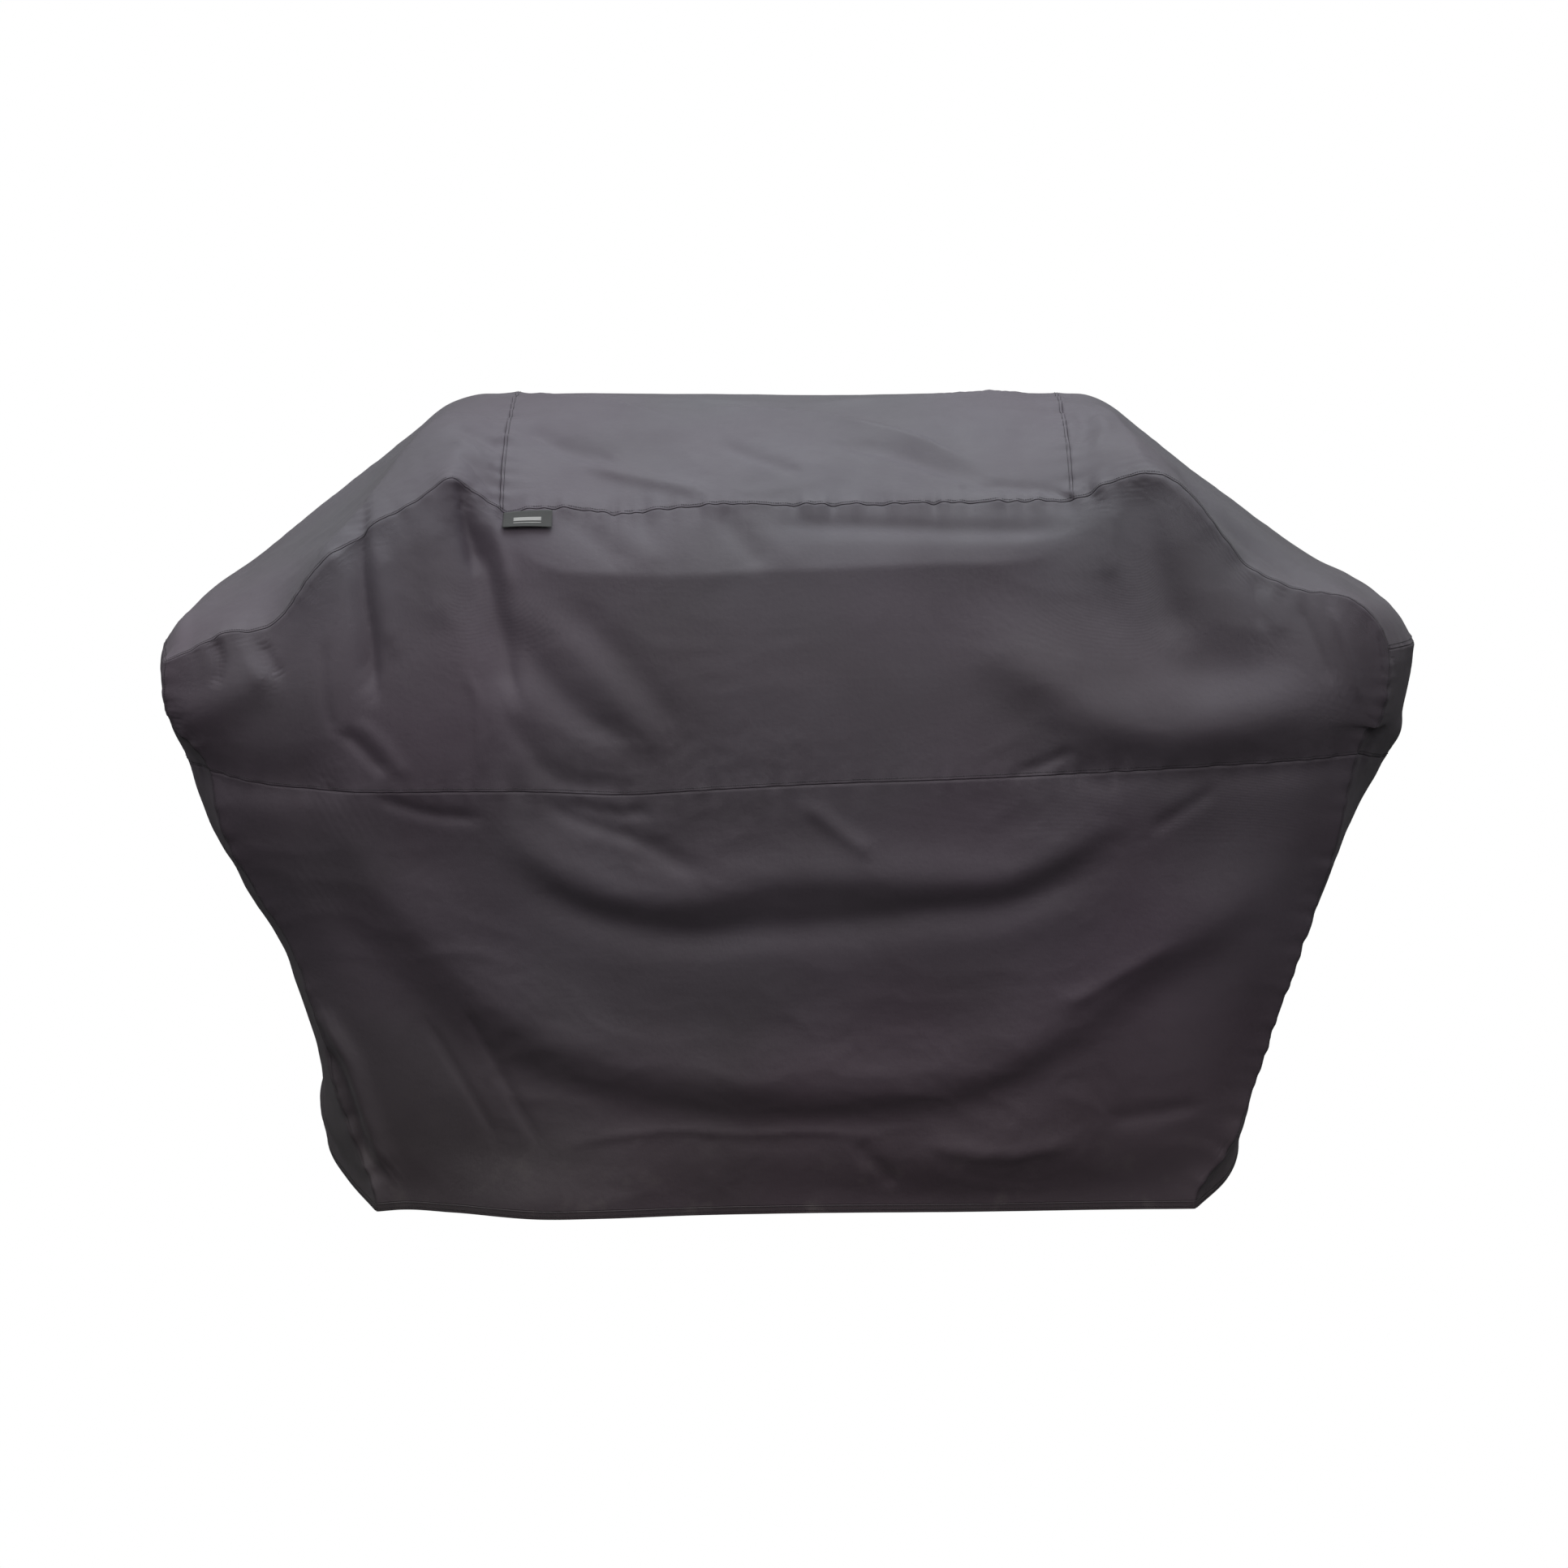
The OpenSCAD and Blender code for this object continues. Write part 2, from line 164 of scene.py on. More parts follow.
BROW = [(-.950, -.170, .862), (-.932, -.175, .896), (-.900, -.180, .912), (-.840, -.190, .938),
        (-.755, -.185, .985), (-.690, -.180, 1.038), (-.626, -.170, 1.088), (-.555, -.160, 1.130),
        (-.500, -.150, 1.158), (-.430, -.132, 1.150), (0, -.130, 1.152), (.430, -.132, 1.156),
        (.500, -.142, 1.166), (.560, -.152, 1.152), (.640, -.170, 1.090), (.700, -.180, 1.040),
        (.750, -.185, 1.008), (.840, -.190, .968), (.885, -.180, .946), (.918, -.178, .929),
        (.941, -.175, .900), (.956, -.170, .870)]
FRONT_SEAM = [(-.927, -.300, .866), (-.895, -.303, .880), (-.840, -.303, .909), (-.760, -.292, .924),
              (-.690, -.274, 1.003), (-.626, -.256, 1.056), (-.555, -.240, 1.096), (-.492, -.222, 1.130),
              (-.460, -.218, 1.104), (-.434, -.215, 1.081), (-.380, -.215, 1.084), (-.305, -.215, 1.083),
              (-.270, -.216, 1.077), (-.140, -.215, 1.089), (.040, -.215, 1.091), (.220, -.215, 1.094),
              (.390, -.215, 1.096), (.440, -.215, 1.099), (.470, -.220, 1.116), (.540, -.226, 1.134),
              (.575, -.232, 1.122), (.642, -.252, 1.050), (.696, -.270, .999), (.748, -.288, .979),
              (.850, -.302, .954), (.880, -.302, .922), (.899, -.300, .884)]
CREASE = [(-.928, -.305, .836), (-.840, -.318, .862), (-.755, -.316, .868), (-.690, -.300, .940),
          (-.626, -.286, .990), (-.555, -.272, 1.018), (-.492, -.256, 1.044), (-.440, -.248, 1.038),
          (-.380, -.258, 1.026), (-.320, -.267, 1.011), (-.140, -.271, 1.004), (.040, -.271, 1.005),
          (.220, -.270, 1.013), (.370, -.263, 1.026), (.450, -.252, 1.046), (.545, -.256, 1.058),
          (.640, -.284, .985), (.700, -.300, .938), (.750, -.313, .912), (.850, -.318, .890),
          (.900, -.305, .850)]
CHEST = [(-.920, -.306, .775), (-.840, -.324, .790), (-.750, -.331, .800), (-.690, -.330, .830),
         (-.620, -.320, .850), (-.500, -.312, .860), (-.400, -.310, .860), (0, -.309, .860),
         (.400, -.310, .860), (.550, -.313, .860), (.650, -.319, .850), (.750, -.328, .822),
         (.840, -.324, .795), (.887, -.306, .775)]
BAND = [(-.873, -.305, .700), (-.790, -.325, .686), (-.680, -.333, .679), (-.375, -.331, .676),
        (-.240, -.329, .671), (-.140, -.329, .677), (.040, -.329, .687), (.250, -.330, .695),
        (.460, -.332, .705), (.660, -.332, .717), (.790, -.325, .724), (.857, -.305, .728)]


SKIRT_SHARES = (.72, .9)                 # where the skirt turns in, as shares of its half width
SKIRT_FULL_X = .36                       # it is at its fullest within this half width


def skirt_row(z, left, right, middle_y, side_y, corner_y):
    """One level of the front skirt: full in the middle and drawn in towards each corner."""
    inner, outer = SKIRT_SHARES
    between_y = (side_y + middle_y) / 2
    points = [(left, corner_y), (left * outer, side_y), (left * inner, between_y)]
    points += [(x, middle_y) for x in (-SKIRT_FULL_X, 0, SKIRT_FULL_X)]
    points += [(right * inner, between_y), (right * outer, side_y), (right, corner_y)]
    return [(x, y, z) for x, y in points]


# The front hem swings forward on the left and lies straighter on the right
HEM_LINE = [(-.636, -.303), (-.600, -.294), (-.520, -.306), (-.380, -.338), (-.280, -.334), (-.150, -.320),
            (0, -.311), (.300, -.303), (.550, -.292), (.600, -.291), (.636, -.290)]


def hem_row(z):
    return [(x, y, z) for x, y in HEM_LINE]


FRONT_ROWS = [
    (0.00, FRONT_SEAM), (0.13, CREASE), (0.28, CHEST), (0.45, BAND),
    (0.53, skirt_row(.600, -.850, .835, -.334, -.322, -.294)),
    (0.63, skirt_row(.500, -.802, .812, -.336, -.318, -.284)),
    (0.73, skirt_row(.400, -.752, .783, -.334, -.312, -.278)),
    (0.83, skirt_row(.300, -.722, .754, -.331, -.306, -.272)),
    (0.93, skirt_row(.200, -.700, .725, -.328, -.302, -.270)),
    (1.03, skirt_row(.100, -.668, .690, -.323, -.298, -.280)),
    (1.116, hem_row(HEM_Z)),
    (1.13, hem_row(0.0)),
]
TOP_ROWS = [(0.00, REAR_SEAM), (0.11, RIDGE), (0.32, LID), (0.44, BROW), (0.55, FRONT_SEAM)]


REAR_SHARES = ((.9, .006), (.7, 0), (.35, 0))   # shares of the rear's half width, and how far it draws in


def rear_row(z, half_width, middle_y, corner_y):
    """One level of the rear, which hangs flatter than the front."""
    half = [(half_width, corner_y, z)]
    half += [(half_width * share, middle_y - drawn_in, z) for share, drawn_in in REAR_SHARES]
    return mirrored(half, (0, middle_y, z))


REAR_CREASE = mirrored([(.932, .302, .838), (.840, .306, .860), (.690, .304, .930), (.540, .303, .985),
                        (.430, .302, 1.0)], (0, .302, 1.0))
REAR_ROWS = [
    (0.00, REAR_SEAM), (0.13, REAR_CREASE),
    (0.28, rear_row(.840, .920, .310, .303)),
    (0.45, rear_row(BAND_Z, .880, .312, .302)),
    (0.53, rear_row(.600, .852, .311, .301)),
    (0.63, rear_row(.500, .818, .309, .299)),
    (0.73, rear_row(.400, .782, .305, .296)),
    (0.83, rear_row(.300, .745, .299, .290)),
    (0.93, rear_row(.200, .715, .294, .285)),
    (1.03, rear_row(.100, .692, .289, .281)),
    (1.116, rear_row(HEM_Z, .672, .286, .280)),
    (1.13, rear_row(0.0, .670, .286, .280)),
]

# Half width of the left and right ends below the shelves, at y = -.16, 0 and .16, and their heights
SIDE_ROWS = [
    (0.13, (.958, .960, .954), (.957, .962, .956), .838),
    (0.28, (.952, .954, .946), (.946, .950, .944), .770),
    (0.45, (.928, .926, .918), (.929, .930, .920), .690),
    (0.53, (.895, .892, .886), (.877, .880, .878), .600),
    (0.63, (.852, .850, .846), (.844, .846, .846), .500),
    (0.73, (.792, .790, .790), (.789, .789, .790), .400),
    (0.83, (.7575, .7575, .7575), (.7575, .7575, .7575), .300),
    (0.93, (.734, .728, .725), (.736, .735, .730), .200),
    (1.03, (.728, .753, .744), (.726, .748, .740), .100),
    (1.116, (.698, .750, .744), (.700, .738, .740), HEM_Z),
    (1.13, (.697, .747, .744), (.699, .739, .741), 0.0),
]
SIDE_STATIONS = (-.16, 0.0, .16)


# ---- The drape's grids ---------------------------------------------------------------------------

def columns_of(row, counts, seam_x):
    """A row's outline read at every mesh column: left shoulder, middle, then right shoulder."""
    row = np.array(row, float)
    stops = [row[0, 0], -seam_x, seam_x, row[-1, 0]]
    xs = np.concatenate([np.linspace(a, b, n + 1)[(i > 0):] for i, (a, b, n) in enumerate(
        zip(stops[:-1], stops[1:], counts))])
    return np.column_stack([xs, spline(row[:, 0], row[:, 1:], xs)])


def fill_rows(rows, at):
    """Rows of points at their own knots, read at every mesh row."""
    knots = [k for k, _ in rows]
    stack = np.array([points for _, points in rows])
    flat = spline(knots, stack.reshape(len(rows), -1), at)
    return flat.reshape(len(at), *stack.shape[1:])


def stations(knots):
    """Mesh rows between knots, at about the sheet's pitch, with a row on every knot."""
    parts = [np.linspace(a, b, max(1, round((b - a) / PITCH)) + 1)[1:] for a, b in zip(knots[:-1], knots[1:])]
    return np.concatenate([[knots[0]], *parts])


# Places of the band seam, the hem's seam and the floor down the drape, and of the front seam across the top
BAND_AT, HEM_AT, FLOOR_AT, TOP_RUN = 0.45, 1.116, 1.13, 0.55
SHOULDER_RUN = 0.60                      # length of a shoulder along the top
MIDDLE_RUN = 0.86                        # length of the hood along the top
# The mesh columns below the hood's corners draw in as the skirt narrows: place down the drape, half width
GATHER = {0.53: .42, 0.63: .41, 0.73: .39, 0.83: .37, 0.93: .36, 1.03: .35, HEM_AT: .34, FLOOR_AT: .34}


class Sheet:
    """The whole cover as one welded grid: points, quads and the panel each quad belongs to."""

    def __init__(self):
        side_n = round(SHOULDER_RUN / PITCH)
        counts = (side_n, round(MIDDLE_RUN / PITCH), side_n)
        self.cross = (side_n, side_n + counts[1])
        down = stations([0, BAND_AT, HEM_AT, FLOOR_AT])
        back = stations([0, TOP_RUN])
        self.band = int(np.argmin(abs(down - BAND_AT)))
        self.hem = int(np.argmin(abs(down - HEM_AT)))
        front, rear, top = [
            fill_rows([(k, columns_of(row, counts, GATHER.get(k, SEAM_X))) for k, row in rows], at)
            for rows, at in ((FRONT_ROWS, down), (REAR_ROWS, down), (TOP_ROWS, back))]
        left = self.side(down, front[:, 0], rear[:, 0], top[:, 0], 1)
        right = self.side(down, front[:, -1], rear[:, -1], top[:, -1], 2)
        self.weld(front, rear, top, left, right)

    @staticmethod
    def side(down, front_edge, rear_edge, top_edge, column):
        """One end of the cover: rows go down, columns go from the rear corner to the front corner."""
        sign = np.sign(front_edge[0, 0])
        share = (top_edge[:, 1] - top_edge[0, 1]) / (top_edge[-1, 1] - top_edge[0, 1])
        rows = [(0.0, top_edge)]
        for row in SIDE_ROWS:
            k = int(np.argmin(abs(down - row[0])))
            rear, front = rear_edge[k], front_edge[k]
            ys = rear[1] + (front[1] - rear[1]) * share
            knots = [front[1], *SIDE_STATIONS, rear[1]]
            values = [(front[0], front[2]), *[(sign * x, row[3]) for x in row[column]], (rear[0], rear[2])]
            xz = spline(knots, values, ys)
            rows.append((row[0], np.column_stack([xz[:, 0], ys, xz[:, 1]])))
        grid = fill_rows(rows, down)
        grid[:, 0] = rear_edge
        grid[:, -1] = front_edge
        return grid

    def weld(self, front, rear, top, left, right):
        points = []

        def ids(grid, known=None):
            made = np.full(grid.shape[:2], -1) if known is None else known
            for r, c in zip(*np.where(made < 0)):
                made[r, c] = len(points)
                points.append(grid[r, c])
            return made

        def blank(grid):
            return np.full(grid.shape[:2], -1)

        top_id = ids(top)
        front_id, rear_id = blank(front), blank(rear)
        front_id[0], rear_id[0] = top_id[-1], top_id[0]
        ids(front, front_id)
        ids(rear, rear_id)
        left_id, right_id = blank(left), blank(right)
        for side_id, column in ((left_id, 0), (right_id, -1)):
            side_id[0] = top_id[:, column]
            side_id[:, -1] = front_id[:, column]
            side_id[:, 0] = rear_id[:, column]
        ids(left, left_id)
        ids(right, right_id)
        self.points = np.array(points)
        self.grids = {"top": top_id, "front": front_id, "rear": rear_id, "left": left_id, "right": right_id}
        self.quads, self.quad_panel, self.quad_uv = [], [], []
        self.panels = []
        a, b = self.cross
        last = self.hem
        self.add("top", 0, None, 0, a, "left_shoulder_panel")
        self.add("top", 0, None, a, b, "top_center_panel")
        self.add("top", 0, None, b, None, "right_shoulder_panel")
        self.add("front", 0, self.band, 0, None, "front_upper_panel")
        self.add("front", self.band, last, 0, None, "front_skirt_panel")
        self.add("front", last, None, 0, None, "front_hem")
        for face, flip in (("rear", True), ("left", False), ("right", True)):
            upper = "rear_upper_panel" if face == "rear" else f"{face}_upper_side_panel"
            self.add(face, 0, self.band, 0, None, upper, flip)
            self.add(face, self.band, last, 0, None, f"{face}_skirt_panel", flip)
            self.add(face, last, None, 0, None, f"{face}_hem", flip)
        self.quads = np.array(self.quads)
        self.quad_panel = np.array(self.quad_panel)

    def add(self, face, r0, r1, c0, c1, panel, flip=False):
        grid = self.grids[face]
        r1 = grid.shape[0] - 1 if r1 is None else r1
        c1 = grid.shape[1] - 1 if c1 is None else c1
        self.panels.append(panel)
        for r in range(r0, r1):
            for c in range(c0, c1):
                corners = [(r, c), (r + 1, c), (r + 1, c + 1), (r, c + 1)]
                if flip:
                    corners.reverse()
                self.quads.append([grid[p] for p in corners])
                self.quad_uv.append([(p[1] * PITCH, -p[0] * PITCH) for p in corners])
                self.quad_panel.append(len(self.panels) - 1)

    def normals(self):
        p = self.points[self.quads]
        face = np.cross(p[:, 2] - p[:, 0], p[:, 3] - p[:, 1])
        total = np.zeros_like(self.points)
        for i in range(4):
            np.add.at(total, self.quads[:, i], face)
        return unit(total)


# ---- Folds ---------------------------------------------------------------------------------------

# Each fold follows a path on the drape and is written as
# (height in mm, width in mm on the left of travel, width on the right, crisp, path)
# Paths run left to right, or from the top down. Left of travel is above the first kind, and on the right-hand
# side of the second.
# Front paths are in x and z. Top paths are in x and y.
SOFT, CRISP = 2.0, 1.15                  # powers of the bell curve across a fold
FRONT_FOLDS = [
    # The hood's front: the bend where it turns down, the roll below the seam, and slanting streaks
    (6, 30, 30, CRISP, [(-.45, 1.06), (-.40, 1.028), (-.36, 1.005), (-.25, .993), (0, .999), (.22, 1.008),
                        (.34, 1.012), (.39, 1.02), (.45, 1.045)]),
    (-5, 16, 14, SOFT, [(-.06, 1.064), (.16, 1.060), (.28, 1.056), (.39, 1.058), (.46, 1.068)]),
    (1.5, 16, 30, SOFT, [(-.04, 1.034), (.16, 1.036), (.28, 1.036), (.38, 1.038), (.45, 1.048)]),
    (-3, 22, 18, SOFT, [(-.34, 1.085), (-.29, 1.044), (-.24, 1.000)]),
    (3, 20, 24, SOFT, [(-.29, 1.082), (-.235, 1.044), (-.18, .998)]),
    (-3, 20, 18, SOFT, [(-.11, 1.088), (-.077, 1.050), (-.03, 1.000)]),
    (2, 18, 24, SOFT, [(-.07, 1.088), (-.03, 1.050), (.02, 1.000)]),
    # The pinch at the hood's left corner, and the valley and ridges that run down from it
    (-15, 18, 34, SOFT, [(-.492, 1.135), (-.475, 1.073), (-.455, 1.016), (-.440, .956), (-.425, .90),
                         (-.40, .78)]),
    (-9, 12, 13, SOFT, [(-.489, 1.145), (-.481, 1.095), (-.470, 1.045), (-.457, .99)]),
    (4, 12, 12, SOFT, [(-.455, 1.115), (-.440, 1.071), (-.421, 1.016), (-.407, .955)]),
    (4, 18, 26, SOFT, [(-.53, 1.09), (-.528, 1.03), (-.52, .97), (-.50, .91)]),
    (1.5, 26, 40, SOFT, [(-.56, 1.02), (-.511, .936), (-.469, .867), (-.42, .826), (-.35, .775),
                         (-.277, .735), (-.20, .715)]),
    (-6, 24, 24, SOFT, [(-.435, .96), (-.396, .889), (-.336, .820), (-.277, .772), (-.20, .748)]),
    (4, 26, 28, SOFT, [(-.41, .98), (-.336, .902), (-.264, .830), (-.222, .775), (-.16, .71)]),
    (-4, 26, 26, SOFT, [(-.34, .97), (-.252, .878), (-.192, .812), (-.14, .73)]),
    (-4, 22, 16, SOFT, [(-.44, .82), (-.397, .76), (-.350, .70), (-.22, .677)]),
    (2.5, 8, 9, SOFT, [(-.485, .87), (-.459, .815), (-.455, .763), (-.453, .69)]),
    # The left wing: the fold below the seam's second pinch, the roll over the shelf's end and its dents
    (-14, 10, 22, SOFT, [(-.626, 1.10), (-.631, 1.025), (-.626, .965), (-.616, .901), (-.611, .80)]),
    (5, 14, 12, SOFT, [(-.605, 1.05), (-.60, .99), (-.592, .93), (-.585, .87)]),
    (9, 34, 34, SOFT, [(-.925, .765), (-.902, .785), (-.854, .804), (-.80, .836), (-.74, .855)]),
    (-7, 42, 26, SOFT, [(-.93, .695), (-.87, .690), (-.81, .685), (-.75, .685), (-.66, .69)]),
    (-5, 9, 9, SOFT, [(-.858, .91), (-.840, .874), (-.848, .83)]),
    (3, 14, 14, SOFT, [(-.812, .91), (-.796, .865), (-.765, .83)]),
    (-4, 9, 9, SOFT, [(-.78, .90), (-.765, .87), (-.75, .845)]),
    (-3, 9, 9, SOFT, [(-.685, .91), (-.686, .831), (-.67, .75)]),
    (-5, 12, 10, SOFT, [(-.665, .775), (-.627, .735), (-.595, .70)]),
    (3, 12, 12, SOFT, [(-.645, .79), (-.60, .745), (-.56, .69)]),
    # The pinch at the hood's right corner and the ridge beside the shoulder
    (-11, 30, 34, SOFT, [(.528, 1.16), (.533, 1.084), (.545, 1.016), (.565, .95), (.60, .88)]),
    (4, 14, 20, SOFT, [(.485, 1.10), (.48, 1.04), (.485, .98)]),
    (5, 44, 40, SOFT, [(.560, 1.11), (.583, 1.045), (.620, .985), (.668, .928), (.73, .88)]),
    (-6, 52, 38, SOFT, [(.435, 1.01), (.519, .911), (.616, .865), (.711, .868), (.76, .90)]),
    # The right wing: the wide roll over the shelf, the dark hollow below it and the pockets above it
    (15, 58, 46, SOFT, [(.24, .92), (.387, .840), (.460, .791), (.568, .774), (.677, .785), (.760, .808),
                        (.885, .812)]),
    (-6, 30, 26, SOFT, [(.33, .706), (.497, .700), (.618, .704), (.714, .710), (.90, .718)]),
    (-3, 6, 8, CRISP, [(.689, 1.00), (.697, .958), (.708, .915)]),
    (2, 14, 10, SOFT, [(.712, .98), (.72, .945), (.733, .905)]),
    (-4, 10, 8, CRISP, [(.755, .965), (.775, .919), (.797, .870), (.81, .83)]),
    (4.5, 8, 8, CRISP, [(.800, .965), (.829, .890), (.855, .80)]),
    (4.5, 8, 8, CRISP, [(.870, .95), (.882, .876), (.893, .79)]),
    (-4, 10, 9, SOFT, [(.335, .702), (.388, .720), (.435, .742)]),
    # The skirt's swags, each a crest above a hollow
    (12, 62, 42, SOFT, [(-.70, .73), (-.672, .655), (-.632, .572), (-.573, .484), (-.514, .419),
                        (-.454, .360), (-.333, .282), (-.209, .242), (-.024, .212), (.100, .212),
                        (.224, .218), (.348, .265), (.445, .317), (.529, .393), (.589, .438), (.649, .486),
                        (.75, .58)]),
    (-7, 36, 54, SOFT, [(-.74, .60), (-.672, .470), (-.601, .379), (-.505, .289), (-.408, .229),
                        (-.272, .180), (-.086, .159), (.101, .159), (.287, .183), (.398, .242),
                        (.482, .321), (.579, .386), (.69, .45)]),
    (10, 42, 32, SOFT, [(-.445, .675), (-.388, .590), (-.328, .547), (-.267, .523), (-.206, .513),
                        (-.121, .519), (-.023, .540), (.099, .546), (.220, .543), (.342, .549),
                        (.403, .579), (.463, .615), (.54, .66)]),
    (-9, 26, 32, SOFT, [(-.43, .59), (-.328, .500), (-.255, .473), (-.146, .454), (-.023, .466),
                        (.099, .473), (.221, .489), (.343, .508), (.403, .532), (.463, .576),
                        (.53, .625)]),
    (-5, 18, 14, SOFT, [(-.385, .68), (-.315, .634), (-.242, .609), (-.169, .571), (-.11, .53)]),
    (-4, 12, 10, SOFT, [(-.63, .675), (-.545, .644), (-.44, .632)]),
    (-4, 12, 12, SOFT, [(-.34, .665), (-.27, .645), (-.19, .64)]),
    (4, 14, 14, SOFT, [(.02, .665), (.10, .60), (.14, .575)]),
    (-4, 12, 10, SOFT, [(.54, .61), (.60, .65), (.65, .685)]),
    # Small folds low on the front
    (3.5, 12, 7, CRISP, [(-.37, .108), (-.261, .130), (-.173, .139), (-.061, .132), (.039, .136),
                         (.18, .125)]),
    (-4, 12, 10, SOFT, [(-.50, .36), (-.451, .255), (-.409, .169), (-.37, .10)]),
    (-3, 10, 9, SOFT, [(-.56, .33), (-.51, .24), (-.46, .15), (-.44, .10)]),
    (3, 14, 12, SOFT, [(.40, .33), (.517, .400), (.60, .45)]),
    (-3, 16, 14, SOFT, [(.48, .15), (.561, .161), (.65, .18)]),
    (-4, 14, 14, SOFT, [(.10, .115), (.14, .08), (.17, .04)]),
    (4, 18, 14, SOFT, [(.20, .12), (.32, .10), (.46, .12)]),
    # The loose fold beside the lower left corner
    (12, 18, 14, SOFT, [(-.725, .345), (-.705, .305), (-.669, .244), (-.647, .168), (-.628, .10),
                        (-.60, .03)]),
    (-9, 12, 12, SOFT, [(-.735, .29), (-.69, .22), (-.665, .14), (-.645, .06)]),
]
TOP_FOLDS = [
    # The ridges of both shoulders, from the hood's corners down to the shelves
    (15, 44, 32, CRISP, [(-.50, .06), (-.531, .015), (-.583, -.086), (-.639, -.203), (-.689, -.252),
                         (-.76, -.295)]),
    (12, 34, 40, CRISP, [(.47, .10), (.490, .052), (.521, -.094), (.552, -.224), (.617, -.246),
                         (.70, -.262)]),
    (-12, 26, 34, SOFT, [(.57, -.14), (.640, -.19), (.72, -.215), (.80, -.245), (.87, -.29)]),
    (5, 24, 24, SOFT, [(.62, -.04), (.70, -.09), (.80, -.14), (.90, -.20)]),
    # Long creases along the middle of the hood
    (8, 10, 16, CRISP, [(-.43, .13), (-.342, .056), (-.264, .017), (-.16, -.04)]),
    (7, 9, 15, CRISP, [(-.38, .09), (-.215, .052), (.01, .06)]),
    (10, 10, 20, CRISP, [(-.16, .025), (.039, -.005), (.138, -.054), (.212, -.091), (.30, -.14)]),
    (7, 9, 15, CRISP, [(.02, .06), (.231, .085), (.42, .13)]),
    (-7, 22, 16, SOFT, [(-.42, -.045), (-.333, -.099), (-.25, -.12)]),
    (-8, 24, 16, SOFT, [(.05, -.085), (.174, -.122), (.247, -.152), (.33, -.18)]),
    (-6, 14, 10, SOFT, [(.25, -.183), (.355, -.187), (.43, -.207)]),
    (6, 18, 12, SOFT, [(-.32, -.125), (-.20, -.165), (-.11, -.20)]),
    (-5, 16, 14, SOFT, [(-.12, -.08), (-.05, -.13), (.03, -.165)]),
    # Arcs round the hood's left corner and pleats at its right corner
    (4, 14, 12, CRISP, [(-.54, .03), (-.50, .01), (-.462, -.030), (-.422, -.10)]),
    (-6, 14, 14, SOFT, [(-.52, -.04), (-.47, -.09), (-.43, -.125)]),
    (5, 10, 10, CRISP, [(-.515, -.10), (-.47, -.14), (-.432, -.17)]),
    (-4, 9, 9, SOFT, [(-.50, -.15), (-.465, -.175), (-.438, -.195)]),
    (-5, 14, 12, SOFT, [(.455, .02), (.458, -.05), (.445, -.13)]),
    (4, 12, 12, SOFT, [(.48, .0), (.487, -.07), (.465, -.16)]),
]
# Rear paths run from +x to -x, which is left to right from behind
REAR_FOLDS = [
    (12, 50, 30, SOFT, [(.80, .66), (.62, .50), (.40, .38), (.10, .32), (-.20, .33), (-.48, .42),
                        (-.68, .55), (-.80, .68)]),
    (-10, 28, 40, SOFT, [(.76, .56), (.58, .41), (.36, .30), (.08, .245), (-.20, .25), (-.46, .33),
                         (-.66, .46), (-.78, .60)]),
    (9, 36, 24, SOFT, [(.42, .72), (.25, .63), (.05, .60), (-.20, .61), (-.42, .69)]),
    (-8, 24, 30, SOFT, [(.40, .66), (.22, .56), (.02, .53), (-.22, .54), (-.44, .62)]),
    (-10, 18, 26, SOFT, [(.50, 1.12), (.52, 1.02), (.56, .90), (.64, .80)]),
    (-10, 26, 18, SOFT, [(-.50, 1.12), (-.52, 1.02), (-.57, .90), (-.64, .79)]),
    (7, 24, 26, SOFT, [(.43, 1.08), (.44, .96), (.48, .84), (.55, .74)]),
    (7, 26, 24, SOFT, [(-.43, 1.06), (-.45, .94), (-.49, .82), (-.54, .73)]),
    (6, 22, 18, SOFT, [(.20, 1.10), (.10, .95), (.02, .82)]),
    (6, 22, 18, SOFT, [(-.12, 1.10), (-.22, .97), (-.33, .86)]),
    (8, 60, 34, SOFT, [(-.40, .86), (-.56, .80), (-.72, .79), (-.90, .80)]),
    (8, 60, 34, SOFT, [(.90, .80), (.72, .78), (.56, .79), (.42, .84)]),
    (-4, 14, 12, SOFT, [(.30, .20), (.22, .12), (.15, .05)]),
    (4, 14, 12, SOFT, [(-.35, .22), (-.42, .12), (-.46, .04)]),
]
# Paths on both ends are in y and z
END_FOLDS = [
    (-7, 30, 26, SOFT, [(-.24, .72), (-.10, .67), (.06, .66), (.24, .71)]),
    (4, 26, 20, SOFT, [(-.22, .62), (-.08, .55), (.08, .49), (.22, .47)]),
    (-7, 18, 24, SOFT, [(-.24, .55), (-.10, .47), (.06, .42), (.22, .40)]),
    (-6, 14, 16, SOFT, [(-.12, .21), (-.13, .12), (-.11, .03)]),
    (4, 14, 14, SOFT, [(-.04, .20), (-.05, .11), (-.03, .03)]),
    (-6, 16, 14, SOFT, [(.12, .22), (.13, .12), (.15, .03)]),
]
VIEWS = {"front": (Vector((0, 1, 0)), lambda u, v: Vector((u, -2, v))),
         "top": (Vector((0, 0, -1)), lambda u, v: Vector((u, v, 3))),
         "rear": (Vector((0, -1, 0)), lambda u, v: Vector((u, 2, v))),
         "left": (Vector((1, 0, 0)), lambda u, v: Vector((-2, u, v))),
         "right": (Vector((-1, 0, 0)), lambda u, v: Vector((2, u, v)))}
FOLDS = {"front": FRONT_FOLDS, "top": TOP_FOLDS, "rear": REAR_FOLDS, "left": END_FOLDS, "right": END_FOLDS}
FOLD_STEP = 0.006                        # spacing of the points read along a fold's path
FOLD_FADE = 0.16                         # a fold rises and dies away over this length,
FOLD_FADE_SHARE = .24                    # or over this share of its path if that is less
